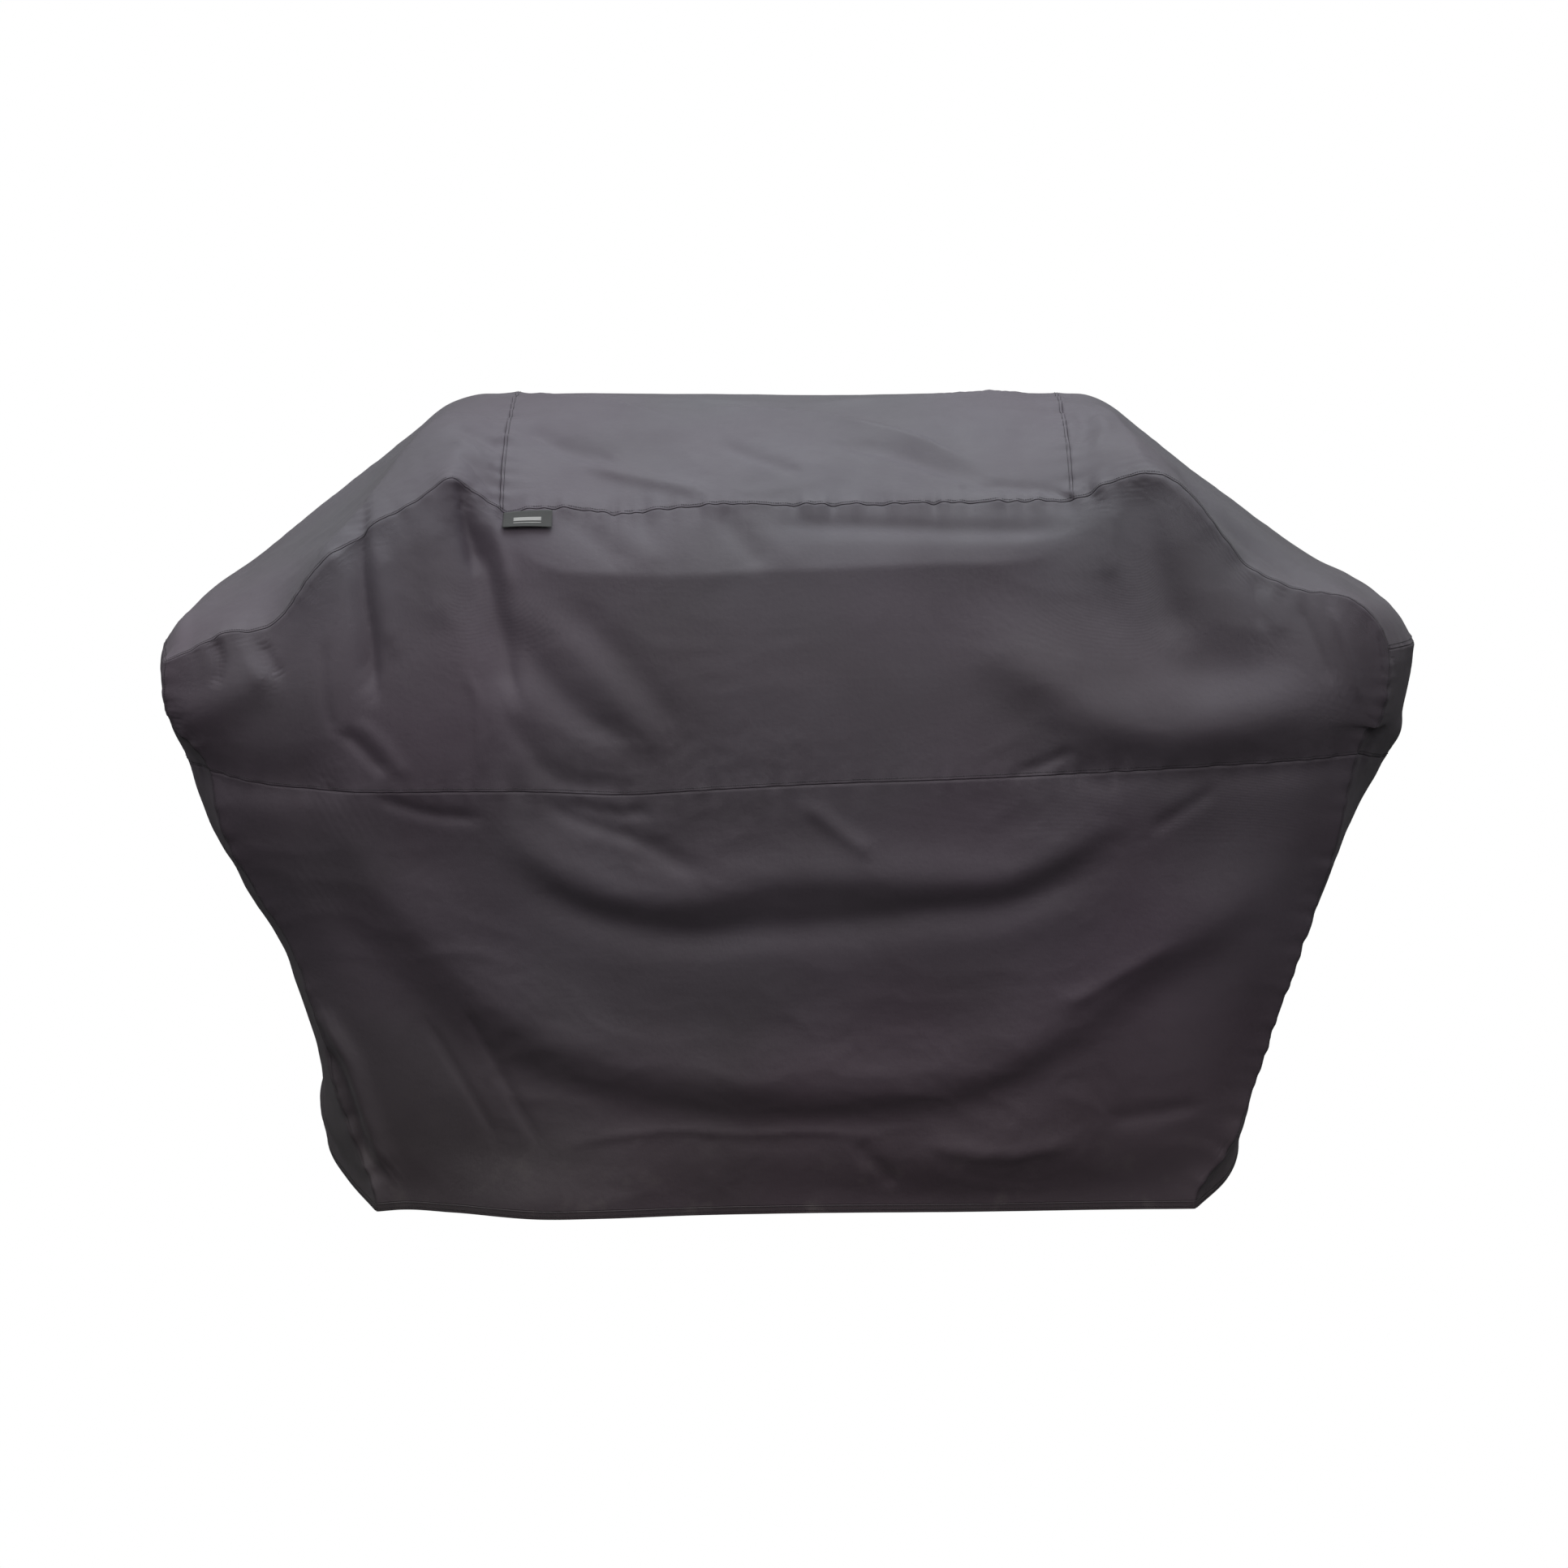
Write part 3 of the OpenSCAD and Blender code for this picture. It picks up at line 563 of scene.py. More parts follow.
FOLD_REACH = 2.6                         # a fold ends this many widths from its path
FOLD_PLACES = 6                          # the fewest points along a path


def fold_heights(sheet, normals, folds, side):
    """The height that one set of folds adds at every vertex."""
    tree = BVHTree.FromPolygons([Vector(p) for p in sheet.points], sheet.quads.tolist())
    direction, origin = VIEWS[side]
    height = np.zeros(len(sheet.points))
    for rise, left_width, right_width, power, path in folds:
        knots = path_lengths(path)
        count = max(FOLD_PLACES, round(knots[-1] / FOLD_STEP))
        places = spline(knots, path, np.linspace(0, knots[-1], count))
        hits = [tree.ray_cast(origin(u, v), direction) for u, v in places]
        hits = [(h[0], h[1]) for h in hits if h[0]]
        line = np.array([h[0] for h in hits])
        up = np.array([h[1] for h in hits])
        run = np.linspace(0, knots[-1], len(line))
        fade = min(FOLD_FADE_SHARE * knots[-1], FOLD_FADE)
        taper = smoothstep(run, 0, fade) * smoothstep(knots[-1] - run, 0, fade)
        along = np.gradient(line, axis=0)
        left = np.cross(up, along)
        reach = FOLD_REACH * max(left_width, right_width) * MM
        near = np.all((sheet.points > line.min(0) - reach) & (sheet.points < line.max(0) + reach), axis=1)
        near = np.where(near & (normals @ up.mean(0) > 0))[0]
        offset = sheet.points[near][:, None] - line
        distance = np.linalg.norm(offset, axis=2)
        nearest = distance.argmin(axis=1)
        from_path = offset[np.arange(len(near)), nearest]
        on_left = np.sum(from_path * left[nearest], axis=1) > 0
        width = np.where(on_left, left_width, right_width) * MM
        height[near] += rise * MM * taper[nearest] * np.exp(-(distance.min(axis=1) / width) ** power)
    return height


# ---- From the drape to the finished fabric -------------------------------------------------------

SETTLE_FRAMES = 10                       # length of the cloth simulation
SETTLE_LIMIT = 0.007                     # the farthest that the simulation may move a point
SETTLE_SMOOTH = 5                        # rounds of averaging that take out ripples as fine as the mesh
SETTLE_SLACK = 0.014                     # extra length that the cloth takes up by buckling
SETTLE_FLOOR = 0.03                      # the edge below this height doesn't move
HOLD_SEAM = 0.95                         # how firmly the seams are held in place
HOLD_CLOTH = 0.62                        # how firmly the cloth between them is held,
HOLD_LOOSE = 0.30                        # less this much in its loosest patches
LOOSE_PATCHES = (.9, 2.6, 12)            # the noise that lays out those patches, written as a fine relief is
LOOSE_MIDDLE = 0.5
CLOTH = {"quality": 3, "mass": .12, "tension_stiffness": 25, "compression_stiffness": 25,
         "shear_stiffness": 8, "bending_stiffness": .02, "air_damping": 4, "vertex_group_mass": "hold",
         "pin_stiffness": .8, "shrink_min": -SETTLE_SLACK}


def settle(sheet):
    """Lets the drape buckle and sag for a moment, held loosely, but firmly at its seams and floor edge."""
    obj = add_object("settling", new_mesh("settling", sheet.points, sheet.quads.tolist()))
    hold = obj.vertex_groups.new(name="hold")
    low, high = vertex_ranks(sheet)
    loose = np.clip(relief(LOOSE_PATCHES, sheet.points) + LOOSE_MIDDLE, 0, 1)
    weights = np.where(low != high, HOLD_SEAM, HOLD_CLOTH - HOLD_LOOSE * loose)
    weights[sheet.points[:, 2] < SETTLE_FLOOR] = 1
    weights = np.round(weights, 2)
    for weight in np.unique(weights):
        hold.add(np.where(weights == weight)[0].tolist(), float(weight), "REPLACE")
    cloth = obj.modifiers.new("cloth", "CLOTH")
    for key, value in CLOTH.items():
        setattr(cloth.settings, key, value)
    cloth.collision_settings.use_collision = False
    cloth.point_cache.frame_start = 1
    cloth.point_cache.frame_end = SETTLE_FRAMES
    for number in range(1, SETTLE_FRAMES + 1):
        bpy.context.scene.frame_set(number)
    moved = shaped(obj)[1] - sheet.points
    bpy.context.scene.frame_set(1)
    bpy.data.objects.remove(obj)
    corners = np.bincount(sheet.quads.ravel(), minlength=len(moved))[:, None]
    for _ in range(SETTLE_SMOOTH):
        middle = moved[sheet.quads].mean(axis=1)
        total = np.zeros_like(moved)
        for corner in sheet.quads.T:
            np.add.at(total, corner, middle)
        moved = total / corners
    length = np.linalg.norm(moved, axis=1, keepdims=True)
    moved *= np.minimum(1, SETTLE_LIMIT / np.maximum(length, TINY))
    sheet.points = sheet.points + moved


def refine(sheet):
    """Divides every quad of the sheet in four, keeping panels and texture coordinates."""
    mesh = new_mesh("sheet", sheet.points, sheet.quads.tolist())
    layer = mesh.uv_layers.new(name="UVMap")
    layer.data.foreach_set("uv", np.array(sheet.quad_uv, float).ravel())
    mesh.polygons.foreach_set("material_index", sheet.quad_panel.astype(np.int32))
    for _ in sheet.panels:
        mesh.materials.append(None)
    obj = add_object("sheet", mesh)
    divide = obj.modifiers.new("divide", "SUBSURF")
    divide.levels = divide.render_levels = 1
    divide.boundary_smooth = "PRESERVE_CORNERS"
    bpy.context.view_layer.update()
    fine, points = shaped(obj)
    quads = np.empty(len(fine.loops), np.int32)
    fine.loops.foreach_get("vertex_index", quads)
    panel = np.empty(len(fine.polygons), np.int32)
    fine.polygons.foreach_get("material_index", panel)
    uv = np.empty(len(fine.loops) * 2)
    fine.uv_layers[0].data.foreach_get("uv", uv)
    sheet.points = points
    sheet.quads = quads.reshape(-1, 4)
    sheet.quad_panel = panel
    sheet.quad_uv = uv.reshape(-1, 4, 2)
    bpy.data.objects.remove(obj)


# A panel laps over its neighbours of lower rank. Its rank is that of the first part found in its name.
RANKS = (("top_center", 6), ("shoulder", 5), ("upper_side", 3), ("upper", 4), ("front", 2), ("rear", 2),
         ("", 1))


def panel_rank(panel):
    return next(rank for part, rank in RANKS if part in panel)


def vertex_ranks(sheet):
    """The lowest and highest rank of the panels that meet at every vertex."""
    rank = np.array([panel_rank(p) for p in sheet.panels])[sheet.quad_panel]
    low = np.full(len(sheet.points), rank.max())
    high = np.zeros(len(sheet.points), int)
    for corner in sheet.quads.T:
        np.minimum.at(low, corner, rank)
        np.maximum.at(high, corner, rank)
    return low, high


def seam_distance(sheet, seam):
    """How far every vertex lies from the nearest seam, and the place of that seam."""
    tree = KDTree(len(seam))
    for n, i in enumerate(seam):
        tree.insert(sheet.points[i], n)
    tree.balance()
    found = [tree.find(p) for p in sheet.points]
    return np.array([f[2] for f in found]), np.array([f[0] for f in found])


STRAP_PLANE_X = 0.7575                   # the sides are flat where the straps are sewn on
STRAP_PLANE_Z = 0.300
STRAP_PLANE_SLOPE = 0.325
STRAP_GAP = 0.0006                       # between the fabric and that plane
FLAT_Y, FLAT_Z = (.155, .215), (.035, .085)   # the flat patch ends within these distances of its middle
FLAT_X = 0.6                             # and it lies outside this half width


def flatten_for_straps(points):
    """Lays the fabric of both ends flat, just inside the plane of the strap."""
    flat_y = 1 - smoothstep(abs(points[:, 1]), *FLAT_Y)
    flat_z = 1 - smoothstep(abs(points[:, 2] - STRAP_PLANE_Z), *FLAT_Z)
    share = flat_y * flat_z * (abs(points[:, 0]) > FLAT_X)
    target = STRAP_PLANE_X - STRAP_GAP + (points[:, 2] - STRAP_PLANE_Z) * STRAP_PLANE_SLOPE
    points[:, 0] += share * (np.sign(points[:, 0]) * target - points[:, 0])


# Fine relief: height in metres, waves per metre, and where its noise starts
UNEVEN = (.0022, (4, 5, 7), 0)
CRUMPLE = (-.0030, (9, 15, 17), 5)
WRINKLE = (-.0010, (34, 42, 46), 9)
PUCKER = (.0038, 52, 7)                  # short puckers on a seam
DRAG = (.0030, 17, 2)                    # longer pulls that run into a seam
CRUMPLE_FLAT = 0.25                      # share of the crumpling that stays level
CRUMPLE_PATCHES = (1, 3.1, 3)            # the noise by which the crumpling comes and goes,
CRUMPLE_MIDDLE = 0.75                    # around this strength
CRUMPLE_RANGE = (.25, 1.2)               # and within these limits
WARP = (.03, 7, 31)                      # bends the creases of the crumpling
PUCKER_REACH, DRAG_REACH = .018, .030    # how far both fade away from the seam
GATHER_EXTRA = 1.3                       # how much stronger the puckers are on the hood's own seams
# Where the relief changes: ranges of x, y or z over which a change comes in
HOOD_SEAM_X, HOOD_SEAM_Z = (.44, .52), (.97, 1.05)
UPPER_FRONT_Y, UPPER_FRONT_Z = (.20, .26), (.72, .80)
SKIRT_END_X, SKIRT_TOP_Z = (.42, .60), (.68, .76)
CALM_FRONT, CALM_ENDS = .65, .60         # share of the crumpling that the upper front and the ends lack
FLOOR_EDGE_Z = (0, .05)                  # all relief dies away here, down to the floor


def relief(kind, points, folded=False):
    height, scale, offset = kind
    wave = noise_at(points, scale, offset)
    return height * (np.abs(wave) if folded else wave)


def add_detail(sheet):
    """Soft unevenness, crumpling and puckers along the seams."""
    low, high = vertex_ranks(sheet)
    seam = np.where(low != high)[0]
    distance, place = seam_distance(sheet, seam)
    p = sheet.points
    warped = p + relief(WARP, p)[:, None]
    crumple = relief(CRUMPLE, warped, True) - CRUMPLE_FLAT * CRUMPLE[0] + relief(WRINKLE, warped, True)
    share = np.clip(relief(CRUMPLE_PATCHES, p) + CRUMPLE_MIDDLE, *CRUMPLE_RANGE)
    front = smoothstep(p[:, 2], *UPPER_FRONT_Z) * smoothstep(-p[:, 1], *UPPER_FRONT_Y)
    ends = smoothstep(abs(p[:, 0]), *SKIRT_END_X) * (1 - smoothstep(p[:, 2], *SKIRT_TOP_Z))
    share *= (1 - CALM_FRONT * front) * (1 - CALM_ENDS * ends)
    gathered = smoothstep(place[:, 2], *HOOD_SEAM_Z) * (1 - smoothstep(abs(place[:, 0]), *HOOD_SEAM_X))
    pucker = relief(PUCKER, place) * np.exp(-distance / PUCKER_REACH) * (1 + GATHER_EXTRA * gathered)
    pucker += relief(DRAG, place, True) * np.exp(-distance / DRAG_REACH)
    height = (relief(UNEVEN, p) + crumple * share + pucker) * smoothstep(p[:, 2], *FLOOR_EDGE_Z)
    sheet.points = p + sheet.normals() * height[:, None]
    flatten_for_straps(sheet.points)
    sheet.points[:, 2] = np.maximum(sheet.points[:, 2], 0)
    return low, high


SEAM_RING = 0.0015                       # width of the turned edge along a seam
LAP = 0.00036                            # how far the upper panel of a seam stands out
SINK = 0.0016                            # how deep the lower panel dips into a seam


def cut_panel(sheet, panel, low, high, material):
    """One panel as its own mesh, with its edges turned into the seams around it."""
    index = sheet.panels.index(panel)
    chosen = np.where(sheet.quad_panel == index)[0]
    quads = sheet.quads[chosen]
    used, local = np.unique(quads, return_inverse=True)
    mesh = new_mesh(panel, sheet.points[used], local.reshape(quads.shape).tolist())
    layer = mesh.uv_layers.new(name="UVMap")
    layer.data.foreach_set("uv", np.array(sheet.quad_uv)[chosen].astype(float).ravel())
    for name, values in (("is_seam", (low != high)[used]), ("is_over", (high == panel_rank(panel))[used])):
        attribute = mesh.attributes.new(name, "FLOAT", "POINT")
        attribute.data.foreach_set("value", values.astype(float))
    bm = bmesh.new()
    bm.from_mesh(mesh)
    bmesh.ops.inset_region(bm, faces=bm.faces[:], thickness=SEAM_RING, use_boundary=True,
                           use_even_offset=False)
    seam_layer = bm.verts.layers.float["is_seam"]
    over_layer = bm.verts.layers.float["is_over"]
    for v in bm.verts:
        if v.is_boundary and v[seam_layer] > .5:
            v.co += v.normal * (LAP if v[over_layer] > .5 else -SINK)
    bm.to_mesh(mesh)
    bm.free()
    obj = add_object(panel + "_cloth", mesh)
    mesh.polygons.foreach_set("use_smooth", [True] * len(mesh.polygons))
    mesh.materials.append(material)
    shell = obj.modifiers.new("thickness", "SOLIDIFY")
    shell.thickness = HEM_T if panel.endswith("hem") else FABRIC_T
    shell.offset = -1
    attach(obj, "cover")
    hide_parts(panel)
    return obj


def build_fabric(material, hem_material):
    """The whole cover, one object for each panel and hem."""
    sheet = Sheet()
    settle(sheet)
    refine(sheet)
    normals = sheet.normals()
    height = sum(fold_heights(sheet, normals, folds, side) for side, folds in FOLDS.items())
    sheet.points = sheet.points + normals * height[:, None]
    low, high = add_detail(sheet)
    for panel in sheet.panels:
        hem = panel.endswith("hem")
        obj = cut_panel(sheet, panel, low, high, hem_material if hem else material)
    return sheet


# ---- Materials -----------------------------------------------------------------------------------

def add_node(tree, kind, inputs=(), **settings):
    """A shader node. Inputs are values or other nodes' outputs, in its sockets' order, with None to skip."""
    node = tree.nodes.new("ShaderNode" + kind)
    for key, value in settings.items():
        setattr(node, key, value)
    for socket, value in zip(node.inputs, inputs):
        feed(tree, socket, value)
    return node


def feed(tree, socket, value):
    if isinstance(value, bpy.types.NodeSocket):
        tree.links.new(value, socket)
    elif value is not None:
        socket.default_value = value


def new_material(name):
    material = bpy.data.materials.new(name)
    material.use_nodes = True
    return material, material.node_tree, material.node_tree.nodes["Principled BSDF"]


def set_inputs(shader, values):
    for name, value in values.items():
        shader.inputs[name].default_value = value


def noise_node(tree, place, scale, detail):
    node = add_node(tree, "TexNoise")
    tree.links.new(place, node.inputs["Vector"])
    node.inputs["Scale"].default_value = scale
    node.inputs["Detail"].default_value = detail
    return node.outputs["Fac"]


MIX_SOCKETS = (0, 6, 7)                  # a Mix node's factor and both of its colours


def mix_colors(tree, share, a, b):
    node = add_node(tree, "Mix", data_type="RGBA")
    for place, value in zip(MIX_SOCKETS, (share, a, b)):
        feed(tree, node.inputs[place], value)
    return node.outputs[2]


def ramp_value(tree, value, low, high, to_low=0.0, to_high=1.0):
    return add_node(tree, "MapRange", [value, low, high, to_low, to_high]).outputs[0]


def patches(tree, place, pattern, to_low=0.0, to_high=1.0):
    """A value that varies in patches between two limits."""
    scale, detail, low, high = pattern
    return ramp_value(tree, noise_node(tree, place, scale, detail), low, high, to_low, to_high)


def math_node(tree, operation, *values):
    return add_node(tree, "Math", values, operation=operation).outputs[0]


def weave_height(tree, uv, threads):
    """Plain weave from two crossed sets of threads, `threads` to the metre."""
    split = add_node(tree, "SeparateXYZ", [uv])
    waves = []
    for axis in ("X", "Y"):
        turned = math_node(tree, "MULTIPLY", split.outputs[axis], threads * math.pi)
        waves.append(math_node(tree, "POWER", math_node(tree, "SINE", turned), 2.0))
    return math_node(tree, "ADD", *waves)


def add_bump(tree, shader, height, size, below=None):
    distance, strength = size
    bump = add_node(tree, "Bump")
    bump.inputs["Strength"].default_value = strength
    bump.inputs["Distance"].default_value = distance
    tree.links.new(height, bump.inputs["Height"])
    if below:
        tree.links.new(below, bump.inputs["Normal"])
    tree.links.new(bump.outputs["Normal"], shader.inputs["Normal"])
    return bump.outputs["Normal"]


WEAVE, WEBBING_WEAVE = 900, 640          # threads to the metre
# Patches: waves per metre, detail, and the part of the noise that is spread over the whole range
BLOTCHES = (4.5, 6.0, .32, .68)
WARM_PATCHES = (1.7, 2.0, .40, .62)
DUST_SPECKS = (24, 9.0, .56, .74)
GLOSS_PATCHES = (13, 5.0, .30, .70)
YARN_GRAIN = (900, 3.0, .30, .70)
# Bumps: height in metres, and strength
SOFT_BUMP, WEAVE_BUMP, WEBBING_BUMP = (.0006, .55), (.00018, .6), (.0003, .7)
TAPE_BUMP, PLASTIC_BUMP, PLAIN_BUMP = (.0012, 1.0), (.0001, .5), (.0002, .8)
# The noise under a bump: waves per metre and detail
SOFT_NOISE, PLASTIC_NOISE = (150, 4.0), (1400, 2.0)
TAPE_DETAIL = 5.0
# The shaders' plain inputs
POLYESTER = {"Specular IOR Level": .42, "Sheen Weight": .10, "Sheen Roughness": .45}
POLYESTER_ROUGHNESS = (.43, .55)
WEBBING = {"Roughness": .62, "Sheen Weight": .2}
WEBBING_SHADES = (.75, 1.25)
TAPE = {"Roughness": .8, "Sheen Weight": .4}
PLASTIC = {"Roughness": .36}
WARM_SHARE = .35                         # the most that a warm patch takes on of its own colour
WARM_RED, WARM_GREEN, WARM_BLUE = 1.06, .96, .97
DUST_COLOR = (.20, .19, .185, 1)
DUST_Z = (.16, .01)                      # dust comes in between these heights, and so do the painted light tints below
PAINTED_LIGHT_LOW_Z, PAINTED_LIGHT_TOP_Z = (.10, .45), (.88, 1.06)
# Painted light tint: the fabric's colour is made browner near the ground and cooler towards the top, standing
# in for how the light falls there
PAINTED_LIGHT_TINT_LOW = (1.05, .99, .95, 1)
PAINTED_LIGHT_TINT_MIDDLE = (1.02, .97, 1.02, 1)
PAINTED_LIGHT_TINT_TOP = (.96, 1.01, 1.03, 1)


def polyester(name, dark, light, dust):
    """Coated polyester: a weave, faint blotches and cooler or warmer patches, dust low on the skirt, and a
    painted light tint that is browner low down and cooler at the top.
    """
    material, tree, shader = new_material(name)
    coord = add_node(tree, "TexCoord")
    place, uv = coord.outputs["Object"], coord.outputs["UV"]
    color = mix_colors(tree, patches(tree, place, BLOTCHES), (*dark, 1), (*light, 1))
    warm = (light[0] * WARM_RED, dark[1] * WARM_GREEN, light[2] * WARM_BLUE, 1)
    color = mix_colors(tree, patches(tree, place, WARM_PATCHES, 0.0, WARM_SHARE), color, warm)
    height = add_node(tree, "SeparateXYZ", [place]).outputs["Z"]
    low = ramp_value(tree, height, *DUST_Z)
    dusty = math_node(tree, "MULTIPLY", low, patches(tree, place, DUST_SPECKS, 0.0, dust))
    color = mix_colors(tree, dusty, color, DUST_COLOR)
    # Painted light: the colour turns browner low down and cooler at the top, standing in for how the light
    # falls there
    painted_light_tint = mix_colors(tree, ramp_value(tree, height, *PAINTED_LIGHT_LOW_Z), PAINTED_LIGHT_TINT_LOW, PAINTED_LIGHT_TINT_MIDDLE)
    painted_light_tint = mix_colors(tree, ramp_value(tree, height, *PAINTED_LIGHT_TOP_Z), painted_light_tint, PAINTED_LIGHT_TINT_TOP)
    color = add_node(tree, "VectorMath", [color, painted_light_tint], operation="MULTIPLY").outputs[0]
    tree.links.new(color, shader.inputs["Base Color"])
    roughness = patches(tree, place, GLOSS_PATCHES, *POLYESTER_ROUGHNESS)
    tree.links.new(roughness, shader.inputs["Roughness"])
    set_inputs(shader, POLYESTER)
    soft = add_bump(tree, shader, noise_node(tree, place, *SOFT_NOISE), SOFT_BUMP)
    add_bump(tree, shader, weave_height(tree, uv, WEAVE), WEAVE_BUMP, soft)
    return material


def webbing_material(name, color):
    material, tree, shader = new_material(name)
    uv = add_node(tree, "TexCoord").outputs["UV"]
    shade = add_node(tree, "VectorMath", [color], operation="SCALE")
    tree.links.new(patches(tree, uv, YARN_GRAIN, *WEBBING_SHADES), shade.inputs["Scale"])
    tree.links.new(shade.outputs[0], shader.inputs["Base Color"])
    set_inputs(shader, WEBBING)
    add_bump(tree, shader, weave_height(tree, uv, WEBBING_WEAVE), WEBBING_BUMP)
    return material


def tape_material(name, color, scale):
    """Hook or loop tape: a fuzz of fine lumps."""
    material, tree, shader = new_material(name)
    place = add_node(tree, "TexCoord").outputs["Object"]
    shader.inputs["Base Color"].default_value = (*color, 1)
    set_inputs(shader, TAPE)
    add_bump(tree, shader, noise_node(tree, place, scale, TAPE_DETAIL), TAPE_BUMP)
    return material


def plastic_material(name, color):
    material, tree, shader = new_material(name)
    place = add_node(tree, "TexCoord").outputs["Object"]
    shader.inputs["Base Color"].default_value = (*color, 1)
    set_inputs(shader, PLASTIC)
    add_bump(tree, shader, noise_node(tree, place, *PLASTIC_NOISE), PLASTIC_BUMP)
    return material


def plain_cloth(name, color, threads, roughness):
    """A small woven piece, such as the label or a thread."""
    material, tree, shader = new_material(name)
    uv = add_node(tree, "TexCoord").outputs["UV"]
    shader.inputs["Base Color"].default_value = (*color, 1)
    shader.inputs["Roughness"].default_value = roughness
    add_bump(tree, shader, weave_height(tree, uv, threads), PLAIN_BUMP)
    return material


# ---- Parts sewn to the fabric --------------------------------------------------------------------

def new_object(name, points, faces, material, body):
    """A smooth-shaded piece. It rides on its body, unless it is to be blended between two of them."""
    mesh = new_mesh(name, points, faces)
    mesh.polygons.foreach_set("use_smooth", [True] * len(faces))
    mesh.materials.append(material)
    obj = add_object(name, mesh)
    if body:
        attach(obj, body)
    return obj


STITCH_STEP = 0.0036                     # from one stitch to the next
STITCH_L = 0.0025                        # length of the thread that shows
STITCH_R = 0.00032                       # half thickness of the thread
STITCH_CROWN = 0.6                       # width of its top, as a share of its foot
STITCH_IN = 0.0042                       # from a seam to its row of stitches
HEM_ROWS = (.12, .62)                    # the hem's rows of stitches, as shares of the hem's height


def tube_faces(rings, count, closed=False):
    """Quads between rings of `count` points. The ends are capped, unless the last ring joins the first."""
    faces = []
    for r in range(rings if closed else rings - 1):
        a, b = r * count, (r + 1) % rings * count
        faces += [(a + i, a + (i + 1) % count, b + (i + 1) % count, b + i) for i in range(count)]
    if not closed:
        faces += [tuple(reversed(range(count))), tuple(range((rings - 1) * count, rings * count))]
    return faces


def slab_faces(columns, rows):
    """Faces of a closed slab whose upper grid of points comes first and whose lower grid follows."""
    n = columns * rows
    upper = [(c * rows + r, c * rows + r + 1, (c + 1) * rows + r + 1, (c + 1) * rows + r)
             for c in range(columns - 1) for r in range(rows - 1)]
    rim = [c * rows for c in range(columns)] + [n - rows + r for r in range(1, rows)]
    rim += [c * rows + rows - 1 for c in range(columns - 2, -1, -1)] + list(range(rows - 2, 0, -1))
    sides = [(a, b, n + b, n + a) for a, b in zip(rim, rim[1:] + rim[:1])]
    return upper + [tuple(n + i for i in reversed(quad)) for quad in upper] + sides


def stitches_along(line, normals):
    """The ends, middle, sideways step and upward step of every stitch in one row, raised on its normals."""
    knots = path_lengths(line)
    centers = np.arange(STITCH_STEP, knots[-1] - STITCH_STEP / 2, STITCH_STEP)

    def read(table, at):
        return np.column_stack([np.interp(at, knots, table[:, i]) for i in range(3)])

    a, b = read(line, centers - STITCH_L / 2), read(line, centers + STITCH_L / 2)
    up = unit(read(normals, centers)) * STITCH_R
    side = unit(np.cross(b - a, up)) * STITCH_R
    return zip(a, b, (a + b) / 2 + up, side, up)


def build_stitches(name, rows, material, body="cover"):
    """All stitches of several rows as one object. Each is a flat thread that arches out of the cloth."""
    points, faces = [], []
    for line, normals in rows:
        for a, b, mid, side, up in stitches_along(line, normals):
            n = len(points)
            for center, lift in ((a, -1), (mid, 1), (b, -1)):
                points += [center + side * s + up * (lift + t)
                           for s, t in ((1, -1), (-1, -1), (-STITCH_CROWN, 1), (STITCH_CROWN, 1))]
            faces += [tuple(n + i for i in face) for face in tube_faces(3, 4)]
    return new_object(name, points, faces, material, body)


def seam_rows(sheet, tree):
    """The stitched lines of the cover, each just inside the upper panel of its seam."""
    g, (a, b) = sheet.grids, sheet.cross
    top, band, hem = g["top"], sheet.band, sheet.hem
    pairs = [(top[-1], top[-2]), (top[0], top[1]), (top[:, a], top[:, a + 1]), (top[:, b], top[:, b - 1]),
             (top[:, 0], top[:, 1]), (top[:, -1], top[:, -2])]
    pairs += [(g[f][band], g[f][band - 1]) for f in g if f != "top"]
    pairs += [(g[f][:, i], g[f][:, j]) for f in ("front", "rear") for i, j in ((0, 1), (-1, -2))]
    rows = [surface_row(sheet, tree, seam, inside, STITCH_IN / PITCH) for seam, inside in pairs]
    for f in g:
        if f != "top":
            rows += [surface_row(sheet, tree, g[f][hem], g[f][-1], share) for share in HEM_ROWS]
    return rows


def surface_row(sheet, tree, seam, inside, share):
    """A line on the fabric and its normals, a share of the way from a seam to the vertices inside it."""
    line = sheet.points[seam] * (1 - share) + sheet.points[inside] * share
    found = [tree.find_nearest(p) for p in line]
    normals = np.array([f[1] for f in found])
    return np.array([f[0] for f in found]) + normals * STITCH_R, normals


LABEL_T = 0.0008
LABEL_SEEK = .06                         # the cloth under the label is looked for from this far in front
BAR_T, RULE_T = 0.00025, 0.00020         # thickness of the pale yarn on it
BAR_BOX = (.22, .78, .40, .62)           # shares of the label's width and length, from its upper left corner
RULE_BOX = (.22, .78, .72, .76)
LABEL_GRID = (37, 15)                    # mesh lines across the label and down it
LABEL_TUCK = .14                         # share of its length that reaches up into the seam
LABEL_GAP = .0006                        # from the cloth to the label's back at the seam
LABEL_FLARE = .004                       # how much farther its free edge stands out
LABEL_BEND = .012                        # length below the seam over which it bends when lifted


